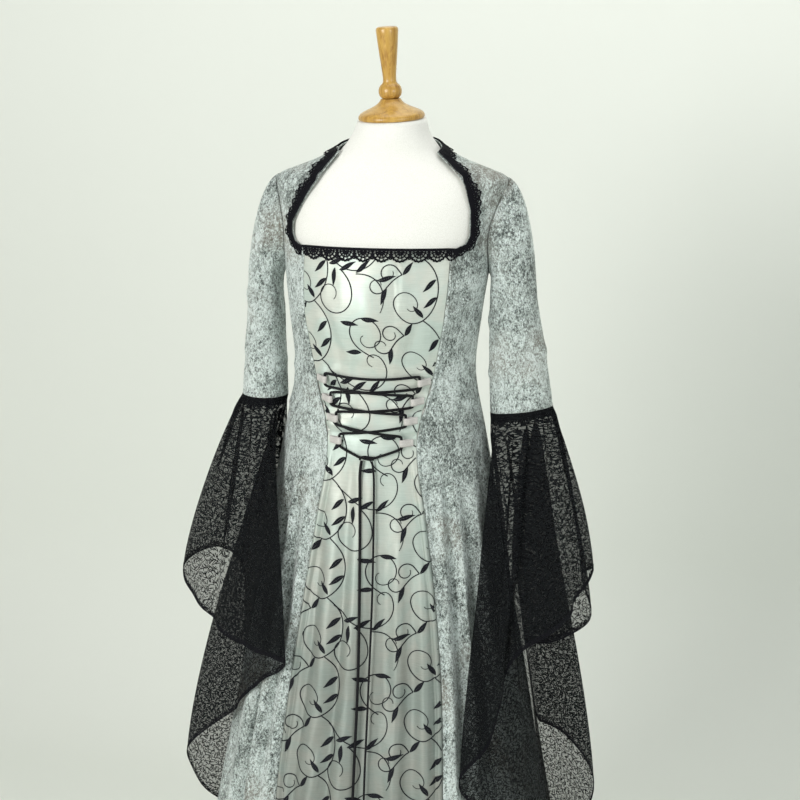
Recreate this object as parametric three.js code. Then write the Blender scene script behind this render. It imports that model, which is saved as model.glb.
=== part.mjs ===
// A floor length lace maxi dress, worn by a limbless dress form on a round stand.
// Millimetres, +Z up. The front faces -Y, +X is the right of the picture, and the origin is the
// centre of the stand's underside on the floor. Left and right are those of the picture.
import * as THREE from 'three';

// Driving sizes
const CLOTH = 1.5; // wall of the velvet and taffeta
const NET = 1.1; // wall of the sheer bells
const SEAM = 0.3; // gap between two pieces at a seam
const OVER = 1.2; // gap under what lies on a panel
const HEM_HEIGHT = 22;
const NECKLINE_HEIGHT = 1301; // straight front edge of the square neck
const UNDERARM_HEIGHT = 1254;
const ARMHOLE_TOP = 1404;
const FORM_TOP = 1490;
const FORM_BOTTOM = 780;
const FORM_CLEARANCE = 3.6; // from the outside of the cloth to the form
const SHOULDER_CLEARANCE = 4; // and this much more under the shoulder seams
const BASE_RADIUS = 165;
const BASE_THICKNESS = 10;
const POLE_RADIUS = 14;
const TRIM_WIDTH = 17;
const TRIM_THICKNESS = 2;
const HEM_TRIM_WIDTH = 9;
const HEM_TRIM_GAP = 2.6; // measured down a thread, which runs aslant to the hem's seam
const LEAST_LEAN = 0.45; // keeps the wall at a sharp fold from growing past this share's inverse
const TRIM_RISE = 0.3; // how far a sleeve trim stands out from the sheer cloth on each face
const CORD_RADIUS = 2;
const TUCK_HEIGHT = 4.5; // roll beside each edge of the front panel, below the lacing
const TUCK_WIDTH = 13;
const TUCK_TOP = 1000;

// Outside of the cloth at each height: half its width, its depth before and behind the
// centre, and how far the centre lies towards +X
const BODY = [
  { height: 22, half: 318, front: 246, back: 285, shift: -8 },
  { height: 240, half: 285, front: 216, back: 262, shift: -9 },
  { height: 450, half: 252, front: 188, back: 228, shift: -8 },
  { height: 600, half: 228, front: 159, back: 199, shift: -4 },
  { height: 750, half: 203, front: 136, back: 172, shift: -1 },
  { height: 880, half: 184, front: 119, back: 148, shift: 0 },
  { height: 1000, half: 163, front: 107, back: 116, shift: 0 },
  { height: 1100, half: 146, front: 103, back: 89, shift: 0 },
  { height: 1190, half: 154, front: 119, back: 95, shift: 1 },
  { height: 1254, half: 162, front: 114, back: 102, shift: 3 },
  { height: 1320, half: 170, front: 102, back: 99, shift: 6 },
  { height: 1370, half: 180, front: 87, back: 90, shift: 9 },
  { height: 1396, half: 185, front: 77, back: 81, shift: 11 },
  { height: 1406, half: 178, front: 73, back: 77, shift: 11 },
  { height: 1413, half: 162, front: 71, back: 74, shift: 11 },
  { height: 1421, half: 140, front: 68, back: 71, shift: 11 },
  { height: 1431, half: 115, front: 65, back: 68, shift: 11 },
  { height: 1441, half: 95, front: 64, back: 66, shift: 11 },
  { height: 1452, half: 78, front: 62, back: 64, shift: 11 },
  { height: 1466, half: 66, front: 60, back: 61, shift: 11 },
  { height: 1490, half: 57, front: 55, back: 56, shift: 11 },
];

// Half width of the centre front panel
const PANEL = [
  { height: 22, half: 150 },
  { height: 240, half: 142 },
  { height: 450, half: 134 },
  { height: 600, half: 123 },
  { height: 750, half: 106 },
  { height: 880, half: 87 },
  { height: 1000, half: 71 },
  { height: 1100, half: 93 },
  { height: 1190, half: 109 },
  { height: 1254, half: 114 },
  { height: 1301, half: 114 },
];

// Inner edge of the square neck from the panel's corner up to the shoulder seam, as the
// distance out from the neck's axis on each side
const NECK_EDGE = [
  { height: 1300, left: 121, right: 121 },
  { height: 1306, left: 133, right: 134 },
  { height: 1318, left: 138, right: 138 },
  { height: 1336, left: 137, right: 138 },
  { height: 1356, left: 128, right: 137 },
  { height: 1378, left: 117, right: 131 },
  { height: 1398, left: 105, right: 123 },
  { height: 1414, left: 95, right: 110 },
  { height: 1430, left: 84, right: 92 },
  { height: 1442, left: 76, right: 79 },
];
const NECK_TOP = 1452; // where the neck edge meets the shoulder seam
const BACK_NECK = 1464;

// Soft folds of the skirt: where round the body, half its spread, depth at the hem, and the
// height at which it starts
const FOLDS = [
  { turn: 39, spread: 9, depth: 15, top: 940 },
  { turn: 57, spread: 11, depth: 20, top: 880 },
  { turn: 78, spread: 12, depth: 17, top: 800 },
  { turn: 101, spread: 12, depth: 22, top: 900 },
  { turn: 126, spread: 13, depth: 24, top: 860 },
  { turn: 152, spread: 12, depth: 22, top: 940 },
  { turn: 178, spread: 12, depth: 26, top: 820 },
  { turn: -41, spread: 10, depth: 18, top: 960 },
  { turn: -60, spread: 10, depth: 15, top: 860 },
  { turn: -80, spread: 12, depth: 20, top: 820 },
  { turn: -104, spread: 13, depth: 20, top: 880 },
  { turn: -129, spread: 12, depth: 24, top: 920 },
  { turn: -154, spread: 12, depth: 20, top: 840 },
];

// Heights of the body's rows up to the underarm
const SKIRT_ROWS = [22, 150, 300, 450, 590, 710, 820, 910, 990, 1045, 1100, 1155, 1205, 1254];
const PANEL_TOP_ROWS = [1280, 1300.5];

// Upper sleeves below the underarm: centre and half sizes across and deep
const SLEEVE = {
  left: [
    { height: 1222, across: -196, deep: 3, halfAcross: 27, halfDeep: 40 },
    { height: 1150, across: -197, deep: 3, halfAcross: 31, halfDeep: 41 },
    { height: 1049, across: -199.5, deep: 2, halfAcross: 36.5, halfDeep: 44 },
  ],
  right: [
    { height: 1222, across: 204, deep: 2, halfAcross: 36, halfDeep: 36 },
    { height: 1150, across: 210, deep: 2, halfAcross: 43, halfDeep: 37 },
    { height: 1041, across: 219.5, deep: 1, halfAcross: 49.5, halfDeep: 38 },
  ],
};
const CUFF_SLANT = { left: -0.04, right: 0.14 }; // rise of the cuff across the sleeve

// Hem of each bell, once round: where the thread starts on the cuff (0 outside, 90 front) and
// where it ends. clear is its gap to the skirt.
const BELL_HEM = {
  left: [
    { turn: 0, across: -333, deep: -36, height: 760, clear: 16 },
    { turn: 38, across: -277, deep: -84, height: 684, clear: 16 },
    { turn: 78, across: -208, deep: -116, height: 642, clear: 16 },
    { turn: 116, across: -142, deep: -150, height: 603, clear: 13 },
    { turn: 148, across: -236, deep: -74, height: 528, clear: 9 },
    { turn: 174, across: -342, deep: -26, height: 424, clear: 9 },
    { turn: 198, across: -296, deep: 10, height: 330, clear: 9 },
    { turn: 226, across: -262, deep: 140, height: 262, clear: 9 },
    { turn: 258, across: -288, deep: 128, height: 420, clear: 16 },
    { turn: 290, across: -270, deep: 88, height: 600, clear: 16 },
    { turn: 320, across: -266, deep: 48, height: 768, clear: 16 },
    { turn: 342, across: -308, deep: 16, height: 800, clear: 16 },
  ],
  right: [
    { turn: 0, across: 337, deep: -22, height: 792, clear: 16 },
    { turn: 22, across: 322, deep: -58, height: 748, clear: 16 },
    { turn: 42, across: 297, deep: -84, height: 714, clear: 16 },
    { turn: 62, across: 228, deep: -116, height: 664, clear: 16 },
    { turn: 84, across: 212, deep: -132, height: 596, clear: 16 },
    { turn: 104, across: 197, deep: -150, height: 536, clear: 16 },
    { turn: 126, across: 152, deep: -168, height: 470, clear: 12 },
    { turn: 152, across: 224, deep: -116, height: 396, clear: 6 },
    { turn: 180, across: 268, deep: -40, height: 310, clear: 6 },
    { turn: 216, across: 256, deep: 108, height: 262, clear: 6 },
    { turn: 244, across: 316, deep: 66, height: 312, clear: 16 },
    { turn: 264, across: 344, deep: 36, height: 410, clear: 16 },
    { turn: 281, across: 310, deep: 24, height: 488, clear: 16 },
    { turn: 297, across: 258, deep: 10, height: 542, clear: 16 },
    { turn: 313, across: 240, deep: -5, height: 644, clear: 16 },
    { turn: 328, across: 287, deep: -8, height: 664, clear: 16 },
    { turn: 342, across: 336, deep: 12, height: 700, clear: 16 },
    { turn: 352, across: 325, deep: -10, height: 778, clear: 16 },
  ],
};
const BELL_COLUMNS = 36;
const BELL_ROWS = 7;

// Lacing: heights of the ribbon loops, and each loop's size
const LOOP_HEIGHTS = [1095, 1065, 1035, 1001];
const LOOP = { length: 20, height: 11, thickness: 1, stem: 2.4, hole: 5.4 };
const LOOP_OUT = 2.4; // from the cloth to a loop's round end
const KNOT = { across: -4, height: 976, out: 6, halfAcross: 12, halfDeep: 4.5, halfHigh: 5 };
const END_TOP = 971.2; // where the free ends leave the knot
const END_BOTTOM = 352;

const SKIN = {
  velvet: { color: 0xaeb3ad, roughness: 0.55, metalness: 0 },
  taffeta: { color: 0xbcc3b8, roughness: 0.4, metalness: 0 },
  lace: { color: 0x121316, roughness: 0.8, metalness: 0 },
  net: { color: 0x1d2124, roughness: 0.8, metalness: 0 },
  ribbon: { color: 0xd0c4be, roughness: 0.6, metalness: 0 },
  jersey: { color: 0xeae6dd, roughness: 0.9, metalness: 0 },
  wood: { color: 0xcd9b4b, roughness: 0.4, metalness: 0 },
  metal: { color: 0xd8d6d0, roughness: 0.4, metalness: 0.3 },
};

const rad = THREE.MathUtils.degToRad;
const lerp = THREE.MathUtils.lerp;
const point = (x, y, z) => new THREE.Vector3(x, y, z);
const group = new THREE.Group();

// One column of a table at a height, as a smooth curve through its rows
function at(table, height, column) {
  const last = table.length - 1;
  const step = Math.sign(table[last].height - table[0].height);
  let k = 0;
  while (k < last - 1 && (height - table[k + 1].height) * step > 0) k += 1;
  const slope = (i) => {
    const a = table[Math.max(i - 1, 0)];
    const b = table[Math.min(i + 1, last)];
    return (b[column] - a[column]) / (b.height - a.height);
  };
  const [a, b] = [table[k], table[k + 1]];
  const span = b.height - a.height;
  const t = THREE.MathUtils.clamp((height - a.height) / span, 0, 1);
  const ease = t * t * (3 - 2 * t);
  const curl = t * (1 - t) * span * (slope(k) * (1 - t) - slope(k + 1) * t);
  return lerp(a[column], b[column], ease) + curl;
}

// How far the skirt's folds stand out at a turn (radians) and height
function foldAt(turn, height) {
  let depth = 0;
  for (const fold of FOLDS) {
    if (height >= fold.top) continue;
    let away = turn - rad(fold.turn);
    away = Math.atan2(Math.sin(away), Math.cos(away)) / rad(fold.spread);
    if (Math.abs(away) >= 1) continue;
    const grown = (fold.top - height) / (fold.top - HEM_HEIGHT);
    depth += fold.depth * grown * (1 + Math.cos(Math.PI * away)) / 2;
  }
  return depth;
}

// Outside of the cloth at a turn round the body (0 front, 90 degrees +X) and a height
function skin(turn, height, out = 0) {
  const depth = at(BODY, height, Math.cos(turn) > 0 ? 'front' : 'back') + out;
  const half = at(BODY, height, 'half') + out;
  const grow = foldAt(turn, height);
  const x = at(BODY, height, 'shift') + (half + grow) * Math.sin(turn);
  return point(x, -(depth + grow) * Math.cos(turn), height);
}

function skinNormal(turn, height) {
  const d = 0.002;
  const round = skin(turn + d, height).sub(skin(turn - d, height));
  const up = skin(turn, height + 1).sub(skin(turn, height - 1));
  return round.cross(up).normalize();
}

// The turn at which the cloth lies a distance to +X of its centre, on the front half
function turnAt(across, height) {
  return Math.asin(THREE.MathUtils.clamp(across / at(BODY, height, 'half'), -1, 1));
}

// Closed wall through a grid of outer points. Each point has its outward normal.
function wall(grid, thickness, ring) {
  const rows = grid.length;
  const columns = grid[0].length;
  const outer = grid.map((row) => row.map((p) => p.at));
  const inner = grid.map((row) => row.map((p) => p.at.clone().addScaledVector(p.out, -thickness)));
  const corners = [];
  const quad = (a, b, c, d) => corners.push(a, b, c, a, c, d);
  const reach = ring ? columns : columns - 1;
  for (let j = 0; j < reach; j += 1) {
    const next = (j + 1) % columns;
    for (let i = 0; i < rows - 1; i += 1) {
      quad(outer[i][j], outer[i][next], outer[i + 1][next], outer[i + 1][j]);
      quad(inner[i][j], inner[i + 1][j], inner[i + 1][next], inner[i][next]);
    }
    quad(inner[0][j], inner[0][next], outer[0][next], outer[0][j]);
    quad(outer[rows - 1][j], outer[rows - 1][next], inner[rows - 1][next], inner[rows - 1][j]);
  }
  if (!ring) {
    for (let i = 0; i < rows - 1; i += 1) {
      const end = columns - 1;
      quad(inner[i][0], outer[i][0], outer[i + 1][0], inner[i + 1][0]);
      quad(outer[i][end], inner[i][end], inner[i + 1][end], outer[i + 1][end]);
    }
  }
  return facing(corners);
}

// Geometry of a closed surface given as corners in threes, turned so that it faces out
function facing(corners) {
  let volume = 0;
  for (let i = 0; i < corners.length; i += 3) {
    volume += corners[i].dot(corners[i + 1].clone().cross(corners[i + 2]));
  }
  const ordered = volume > 0 ? corners : [...corners].reverse();
  return new THREE.BufferGeometry().setFromPoints(ordered);
}

function add(name, geometry, look) {
  const mesh = new THREE.Mesh(geometry, new THREE.MeshStandardMaterial(SKIN[look]));
  mesh.name = name;
  group.add(mesh);
  return mesh;
}

const onSkin = (turn, height, out = 0) => {
  const normal = skinNormal(turn, height);
  return { at: skin(turn, height).addScaledVector(normal, out), out: normal };
};
const seamTurn = (height) => SEAM / 2 / at(BODY, height, 'half');

// Centre front panel, with its tuck beside each edge
function frontPanel() {
  const rows = [...SKIRT_ROWS, ...PANEL_TOP_ROWS];
  const tucked = [0, 0.3, 0.6, 1];
  const lift = [0, 1, 0.9, 0];
  const middles = [-0.66, -0.33, 0, 0.33, 0.66];
  return rows.map((height) => {
    const half = at(PANEL, height, 'half');
    const edge = turnAt(half, height) - seamTurn(height);
    const grown = THREE.MathUtils.smoothstep(TUCK_TOP - height, 0, 90) * TUCK_HEIGHT;
    const inner = 1 - TUCK_WIDTH / half;
    const cells = [
      ...tucked.map((t, k) => [-lerp(1, inner, t), lift[k]]),
      ...middles.map((t) => [t * inner, 0]),
      ...tucked.map((t, k) => [lerp(1, inner, t), lift[k]]).reverse(),
    ];
    return cells.map(([share, raised]) => onSkin(share * edge, height, raised * grown));
  });
}

// Boundary of a side front on the neck's edge, from the panel's corner to the shoulder seam
function neckEdge(side) {
  const sign = side === 'left' ? -1 : 1;
  const path = NECK_EDGE.map((row) => [sign * turnAt(row[side], row.height), row.height]);
  return [...path, [sign * (Math.PI / 2 - 0.004), NECK_TOP]];
}

// Armhole from the underarm to the shoulder, a share of the way up, in front (1) or behind (-1)
function armhole(share, before) {
  const height = lerp(UNDERARM_HEIGHT, ARMHOLE_TOP, share);
  const open = rad(before > 0 ? 17 : 27) * Math.sin(Math.PI * share) ** 0.8;
  return [Math.PI / 2 - before * open, height];
}

const FRONT_UPPER = NECK_EDGE.length + PANEL_TOP_ROWS.length + 1; // rows above the underarm
const BACK_UPPER = 8;

// Side front: from the panel's seam to the side seam, and up over the bust to the shoulder
function sideFront(side) {
  const sign = side === 'left' ? -1 : 1;
  const columns = 10;
  const panelSeam = (height) => sign * (turnAt(at(PANEL, height, 'half'), height) + seamTurn(height));
  const inner = [
    ...[...SKIRT_ROWS, ...PANEL_TOP_ROWS].map((height) => [panelSeam(height), height]),
    ...neckEdge(side),
  ];
  const outer = SKIRT_ROWS.map((height) => [sign * (Math.PI / 2 - seamTurn(height)), height]);
  for (let k = 1; k <= FRONT_UPPER; k += 1) {
    const [turn, height] = armhole(k / FRONT_UPPER, 1);
    outer.push([sign * (turn - 0.002), height]);
  }
  return inner.map(([turn, height], i) => {
    const [outerTurn, outerHeight] = outer[i];
    const row = [];
    for (let j = 0; j <= columns; j += 1) {
      const t = j / columns;
      row.push(onSkin(lerp(turn, outerTurn, t), lerp(height, outerHeight, t)));
    }
    return row;
  });
}

// Back: from the centre back to the side seam and armhole. Its top row follows the back neck
// and then the shoulder seam.
function back(side) {
  const sign = side === 'left' ? -1 : 1;
  const columns = 14;
  const neckShare = 0.36; // share of the top row that is neck
  const topAt = (t) => {
    if (t <= neckShare) {
      const s = t / neckShare;
      return [lerp(Math.PI - 0.003, Math.PI / 2 + 0.006, s), lerp(BACK_NECK, NECK_TOP, s * s)];
    }
    const s = (t - neckShare) / (1 - neckShare);
    return [Math.PI / 2 + 0.006, lerp(NECK_TOP, ARMHOLE_TOP, s)];
  };
  const rows = SKIRT_ROWS.map((height) => {
    const cells = [];
    for (let j = 0; j <= columns; j += 1) {
      const gap = seamTurn(height);
      cells.push([lerp(Math.PI - gap, Math.PI / 2 + gap, j / columns), height]);
    }
    return cells;
  });
  const lowest = rows[rows.length - 1];
  for (let k = 1; k <= BACK_UPPER; k += 1) {
    const share = 1 - (1 - k / BACK_UPPER) ** 1.5;
    const [edgeTurn, edgeHeight] = armhole(share, -1);
    rows.push(lowest.map(([turn, height], j) => {
      const t = j / columns;
      const [topTurn, topHeight] = topAt(t);
      const rise = lerp(height, topHeight, share);
      const bulge = (edgeTurn - Math.PI / 2) * t ** 3;
      const fixed = edgeHeight - lerp(height, ARMHOLE_TOP, share);
      return [lerp(turn, topTurn, share ** 3) + bulge, rise + fixed * t];
    }));
  }
  return rows.map((row) => row.map(([turn, height]) => onSkin(sign * turn, height)));
}

// Points round a sleeve at a height, 0 outside and 90 degrees in front
function sleeveRing(side, turn, height) {
  const sign = side === 'left' ? -1 : 1;
  const table = SLEEVE[side];
  const x = at(table, height, 'across') + sign * at(table, height, 'halfAcross') * Math.cos(turn);
  const y = at(table, height, 'deep') - at(table, height, 'halfDeep') * Math.sin(turn);
  return point(x, y, height);
}

function cuffPoint(side, turn) {
  const table = SLEEVE[side];
  const cuff = table[table.length - 1];
  const p = sleeveRing(side, turn, cuff.height);
  p.z += CUFF_SLANT[side] * (p.x - cuff.across);
  return p;
}

// Upper sleeve, from the armhole down to the cuff
function sleeve(side) {
  const sign = side === 'left' ? -1 : 1;
  const columns = 16;
  const shoulderRows = 5;
  const armRows = 3;
  const first = SLEEVE[side][0].height;
  const last = SLEEVE[side][2].height;
  const grid = [];
  for (let i = 0; i <= shoulderRows + armRows; i += 1) {
    const row = [];
    for (let j = 0; j < columns; j += 1) {
      const turn = (2 * Math.PI * j) / columns;
      const before = Math.sin(turn) >= 0 ? 1 : -1;
      const [holeTurn, height] = armhole((1 + Math.cos(turn)) / 2, before);
      if (i <= shoulderRows) {
        const start = skin(sign * holeTurn, height).add(point(sign * 0.9, 0, 0));
        const end = sleeveRing(side, turn, first);
        const leave = start.clone().add(point(sign * lerp(5, 26, (1 + Math.cos(turn)) / 2), 0, -4));
        const arrive = end.clone().add(point(0, 0, 0.45 * (start.z - end.z)));
        const curve = new THREE.CubicBezierCurve3(start, leave, arrive, end);
        row.push(curve.getPoint(i / shoulderRows));
      } else {
        const share = (i - shoulderRows) / armRows;
        const p = sleeveRing(side, turn, lerp(first, last, share));
        const slant = cuffPoint(side, turn).z + SEAM - last;
        p.z += slant * share;
        row.push(p);
      }
    }
    grid.push(row);
  }
  return levelEnd(withNormals(grid, sign), shoulderRows + armRows);
}

// Makes the normals of one row level, so that two walls meet there face to face
function levelEnd(grid, i) {
  for (const cell of grid[i]) cell.out.setZ(0).normalize();
  return grid;
}

// Adds outward vectors to a grid of points round a sleeve. Each is the mean normal of the quads that
// meet there, made longer where they fold, so that a wall keeps its thickness.
function withNormals(grid, sign) {
  const columns = grid[0].length;
  const quads = grid.slice(1).map((row, i) => row.map((p, j) => {
    const next = (j + 1) % columns;
    const falling = row[next].clone().sub(grid[i][j]);
    const rising = grid[i][next].clone().sub(p);
    return rising.cross(falling).multiplyScalar(sign).normalize();
  }));
  return grid.map((row, i) => row.map((p, j) => {
    const before = (j + columns - 1) % columns;
    const near = quads.slice(Math.max(i - 1, 0), i + 1).flatMap((line) => [line[before], line[j]]);
    const out = near.reduce((sum, normal) => sum.add(normal), point(0, 0, 0)).normalize();
    const lean = Math.min(...near.map((normal) => normal.dot(out)));
    return { at: p, out: out.divideScalar(Math.max(lean, LEAST_LEAN)) };
  }));
}

// Moves a point straight out from the skirt's centre until it clears the skirt
function clearOfSkirt(p, gap) {
  const shift = at(BODY, p.z, 'shift');
  const depth = at(BODY, p.z, p.y < 0 ? 'front' : 'back');
  const turn = Math.atan2((p.x - shift) / at(BODY, p.z, 'half'), -p.y / depth);
  const centre = point(shift, 0, p.z);
  const need = skin(turn, p.z).distanceTo(centre) + gap;
  const away = p.clone().sub(centre);
  return away.length() < need ? centre.add(away.setLength(need)) : p;
}

// Threads of a bell: the place on the cuff and on the hem for each column
function bellThreads(side) {
  const table = BELL_HEM[side];
  const hem = new THREE.CatmullRomCurve3(
    table.map((row) => point(row.across, row.deep, row.height)), true, 'centripetal');
  const threads = [];
  for (let j = 0; j < BELL_COLUMNS; j += 1) {
    const place = (j / BELL_COLUMNS) * table.length;
    const k = Math.floor(place);
    const next = table[(k + 1) % table.length];
    const nextTurn = k === table.length - 1 ? 360 : next.turn;
    threads.push({
      turn: rad(lerp(table[k].turn, nextTurn, place - k)),
      clear: lerp(table[k].clear, next.clear, place - k),
      end: hem.getPoint(place / table.length),
    });
  }
  return threads;
}

// A point of a bell a share of the way down a thread
function bellPoint(side, thread, share) {
  const start = cuffPoint(side, thread.turn);
  const spread = 1 - (1 - share) ** 1.35;
  const p = point(
    lerp(start.x, thread.end.x, spread),
    lerp(start.y, thread.end.y, spread),
    lerp(start.z, thread.end.z, share));
  return p.z > 1000 ? p : clearOfSkirt(p, thread.clear);
}

function bellGrid(side) {
  const grid = [];
  const threads = bellThreads(side);
  for (let i = 0; i <= BELL_ROWS; i += 1) {
    grid.push(threads.map((thread) => bellPoint(side, thread, i / BELL_ROWS)));
  }
  return levelEnd(withNormals(grid, side === 'left' ? -1 : 1), 0);
}

// A row of a bell at a distance from one of its rows towards another
function rowBetween(from, to, distance) {
  return from.map((a, j) => {
    const share = distance / a.at.distanceTo(to[j].at);
    return { at: a.at.clone().lerp(to[j].at, share), out: a.out.clone().lerp(to[j].out, share) };
  });
}

// Sheer part of a bell, between its two trims
function bell(side) {
  const grid = bellGrid(side);
  const top = rowBetween(grid[0], grid[1], TRIM_WIDTH + SEAM);
  const low = rowBetween(grid[BELL_ROWS], grid[BELL_ROWS - 1], HEM_TRIM_WIDTH + HEM_TRIM_GAP);
  return [top, ...grid.slice(1, BELL_ROWS), low];
}

// Lace trim at a bell's cuff or hem: a strip of the bell's own surface, a little thicker
function bellTrim(side, rows, width) {
  const grid = bellGrid(side);
  const [from, to] = rows.map((i) => grid[i]);
  return [from, rowBetween(from, to, width)].map((row) => row.map((p) => (
    { at: p.at.addScaledVector(p.out, TRIM_RISE), out: p.out })));
}

// Lace round the neck: a closed band that follows the neck's edge on the cloth
function neckTrim() {
  const front = [];
  for (const share of [-1, -0.66, -0.33, 0, 0.33, 0.66, 1]) {
    front.push([share * turnAt(110, NECKLINE_HEIGHT), NECKLINE_HEIGHT]);
  }
  const right = neckEdge('right');
  const left = neckEdge('left').reverse();
  const behind = [];
  const steps = 10;
  for (let k = 1; k < steps; k += 1) {
    const s = Math.abs(k / steps - 0.5) * 2;
    behind.push([lerp(Math.PI / 2, 1.5 * Math.PI, k / steps), lerp(BACK_NECK, NECK_TOP, s * s)]);
  }
  const path = [...front, ...right, ...behind, ...left.map(([t, h]) => [t + 2 * Math.PI, h])];
  const count = path.length;
  const edge = path.map(([turn, height]) => skin(turn, height));
  return [0, 0.5, 1].map((share) => path.map(([turn, height], k) => {
    const along = edge[(k + 1) % count].clone().sub(edge[(k + count - 1) % count]).normalize();
    const outward = along.clone().cross(skinNormal(turn, height));
    const d = 0.002;
    const round = skin(turn + d, height).sub(skin(turn - d, height)).divideScalar(2 * d);
    const up = skin(turn, height + 1).sub(skin(turn, height - 1)).divideScalar(2);
    const reach = TRIM_WIDTH * share;
    const moved = [
      turn + (reach * outward.dot(round)) / round.lengthSq(),
      height + (reach * outward.dot(up)) / up.lengthSq(),
    ];
    return onSkin(moved[0], moved[1], OVER + TRIM_THICKNESS);
  }));
}

// Ribbon loop sewn into the panel's seam, with a hole at its end that the lace runs through
function ribbonLoop(side, height) {
  const sign = side === 'left' ? -1 : 1;
  const half = LOOP.hole / 2 + LOOP.thickness;
  const end = LOOP.length - half;
  const shape = new THREE.Shape();
  shape.moveTo(0, 0);
  shape.absarc(end, half, half, -Math.PI / 2, (5 * Math.PI) / 6, false);
  shape.lineTo(end - 2.4 * half, LOOP.stem);
  shape.lineTo(0, LOOP.stem);
  shape.closePath();
  const hole = new THREE.Path();
  hole.absarc(end, half, LOOP.hole / 2, 0, 2 * Math.PI, true);
  shape.holes.push(hole);
  const geometry = new THREE.ExtrudeGeometry(shape, {
    depth: LOOP.height, steps: 1, bevelEnabled: false, curveSegments: 5,
  });
  const seam = turnAt(at(PANEL, height, 'half'), height);
  const place = loopPlace(side, height);
  const turn = sign * (seam - 0.06);
  const normal = skinNormal(turn, height).setZ(0).normalize();
  const inward = point(0, 0, 1).cross(normal).multiplyScalar(sign > 0 ? -1 : 1);
  const start = place.clone().addScaledVector(inward, -end).addScaledVector(normal, -half);
  const basis = new THREE.Matrix4();
  basis.makeBasis(inward, normal, point(0, 0, sign));
  basis.setPosition(start.x, start.y, height - sign * (LOOP.height / 2));
  geometry.applyMatrix4(basis);
  return geometry;
}

// Centre of a loop's hole
function loopPlace(side, height) {
  const sign = side === 'left' ? -1 : 1;
  const half = LOOP.hole / 2 + LOOP.thickness;
  const seam = turnAt(at(PANEL, height, 'half'), height);
  const turn = sign * (seam - (LOOP.length - half) / at(BODY, height, 'front'));
  return onSkin(turn, height, half + LOOP_OUT).at;
}

const LOOP_END = LOOP.height / 2 + SEAM; // from a loop's middle to where the strands meet it

// Lace between two places by way of points over the panel, as a round tube
function strand(path) {
  const curve = new THREE.CatmullRomCurve3(path, false, 'centripetal');
  const section = new THREE.Shape().absarc(0, 0, CORD_RADIUS, 0, 2 * Math.PI, false);
  const steps = Math.max(5, Math.round(curve.getLength() / 16));
  return new THREE.ExtrudeGeometry(section, {
    steps, extrudePath: curve, curveSegments: 4, bevelEnabled: false,
  });
}

// A strand across the panel from one loop to another, high over the panel or close to it
function crossing(from, to, lift, sag) {
  const start = loopPlace(from.side, from.height);
  const end = loopPlace(to.side, to.height);
  const leave = from.down ? -1 : 1;
  const arrive = to.down ? -1 : 1;
  const path = [0, 4].map((away) => start.clone().setZ(start.z + leave * (LOOP_END + away)));
  const heights = [path[1].z, end.z + arrive * (LOOP_END + 4)];
  for (const share of [0.12, 0.3, 0.5, 0.7, 0.88]) {
    const x = lerp(start.x, end.x, share);
    const dip = sag * 4 * share * (1 - share);
    const height = lerp(heights[0], heights[1], share) - dip;
    path.push(onSkin(turnAt(x, height), height, lift).at);
  }
  path.push(...[4, 0].map((away) => end.clone().setZ(end.z + arrive * (LOOP_END + away))));
  return strand(path);
}

function knotPlace() {
  return onSkin(turnAt(KNOT.across, KNOT.height), KNOT.height, KNOT.out).at;
}

// Half of the bottom of the lacing, from the lowest loop to the knot
function toKnot(side) {
  const sign = side === 'left' ? -1 : 1;
  const height = LOOP_HEIGHTS[LOOP_HEIGHTS.length - 1];
  const start = loopPlace(side, height);
  const path = [0, 4].map((away) => start.clone().setZ(start.z - LOOP_END - away));
  const knot = knotPlace().add(point(sign * (KNOT.halfAcross + 1), 0, 0));
  for (const share of [0.25, 0.6, 0.85]) {
    const x = lerp(start.x, knot.x, share);
    const z = lerp(start.z - LOOP_END - 4, knot.z, share) - 3 * share * (1 - share);
    path.push(onSkin(turnAt(x, z), z, 4.5).at);
  }
  path.push(knot);
  return strand(path);
}

// A free end of the lace, hanging from the knot down the front panel
function freeEnd(rows) {
  return strand(rows.map((row) => onSkin(turnAt(row.across, row.height), row.height, row.out).at));
}

const END_LEFT = [
  { across: -12, height: END_TOP, out: KNOT.out },
  { across: -15, height: 955, out: 5 },
  { across: -14, height: 900, out: 4 },
  { across: -10, height: 760, out: 4 },
  { across: -6, height: 620, out: 4 },
  { across: -3, height: 480, out: 4 },
  { across: -2, height: END_BOTTOM, out: 4 },
];
const END_RIGHT = [
  { across: 4, height: END_TOP, out: KNOT.out },
  { across: 7, height: 955, out: 5 },
  { across: 8, height: 900, out: 4 },
  { across: 10, height: 760, out: 4 },
  { across: 11, height: 620, out: 4 },
  { across: 14, height: 480, out: 4 },
  { across: 17, height: END_BOTTOM + 14, out: 4 },
];

const NECK_SHIFT = BODY[BODY.length - 1].shift;
const HEAD_TIP = { forward: rad(5), sideways: rad(2) };

// Dress form: the same body, drawn in to clear the cloth, and closed under the hips
const FORM = [
  { height: FORM_BOTTOM, half: 148, front: 92, back: 118 },
  { height: 800, half: 158, front: 100, back: 126 },
  { height: 880, half: 164, front: 106, back: 128 },
  { height: 960, half: 158, front: 102, back: 116 },
];
const FORM_ROWS = [1040, 1100, 1150, 1200, 1254, 1310, 1350, 1380, 1396, 1406, 1413, 1421, 1431, 1441,
  1452, 1466, FORM_TOP];

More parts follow.
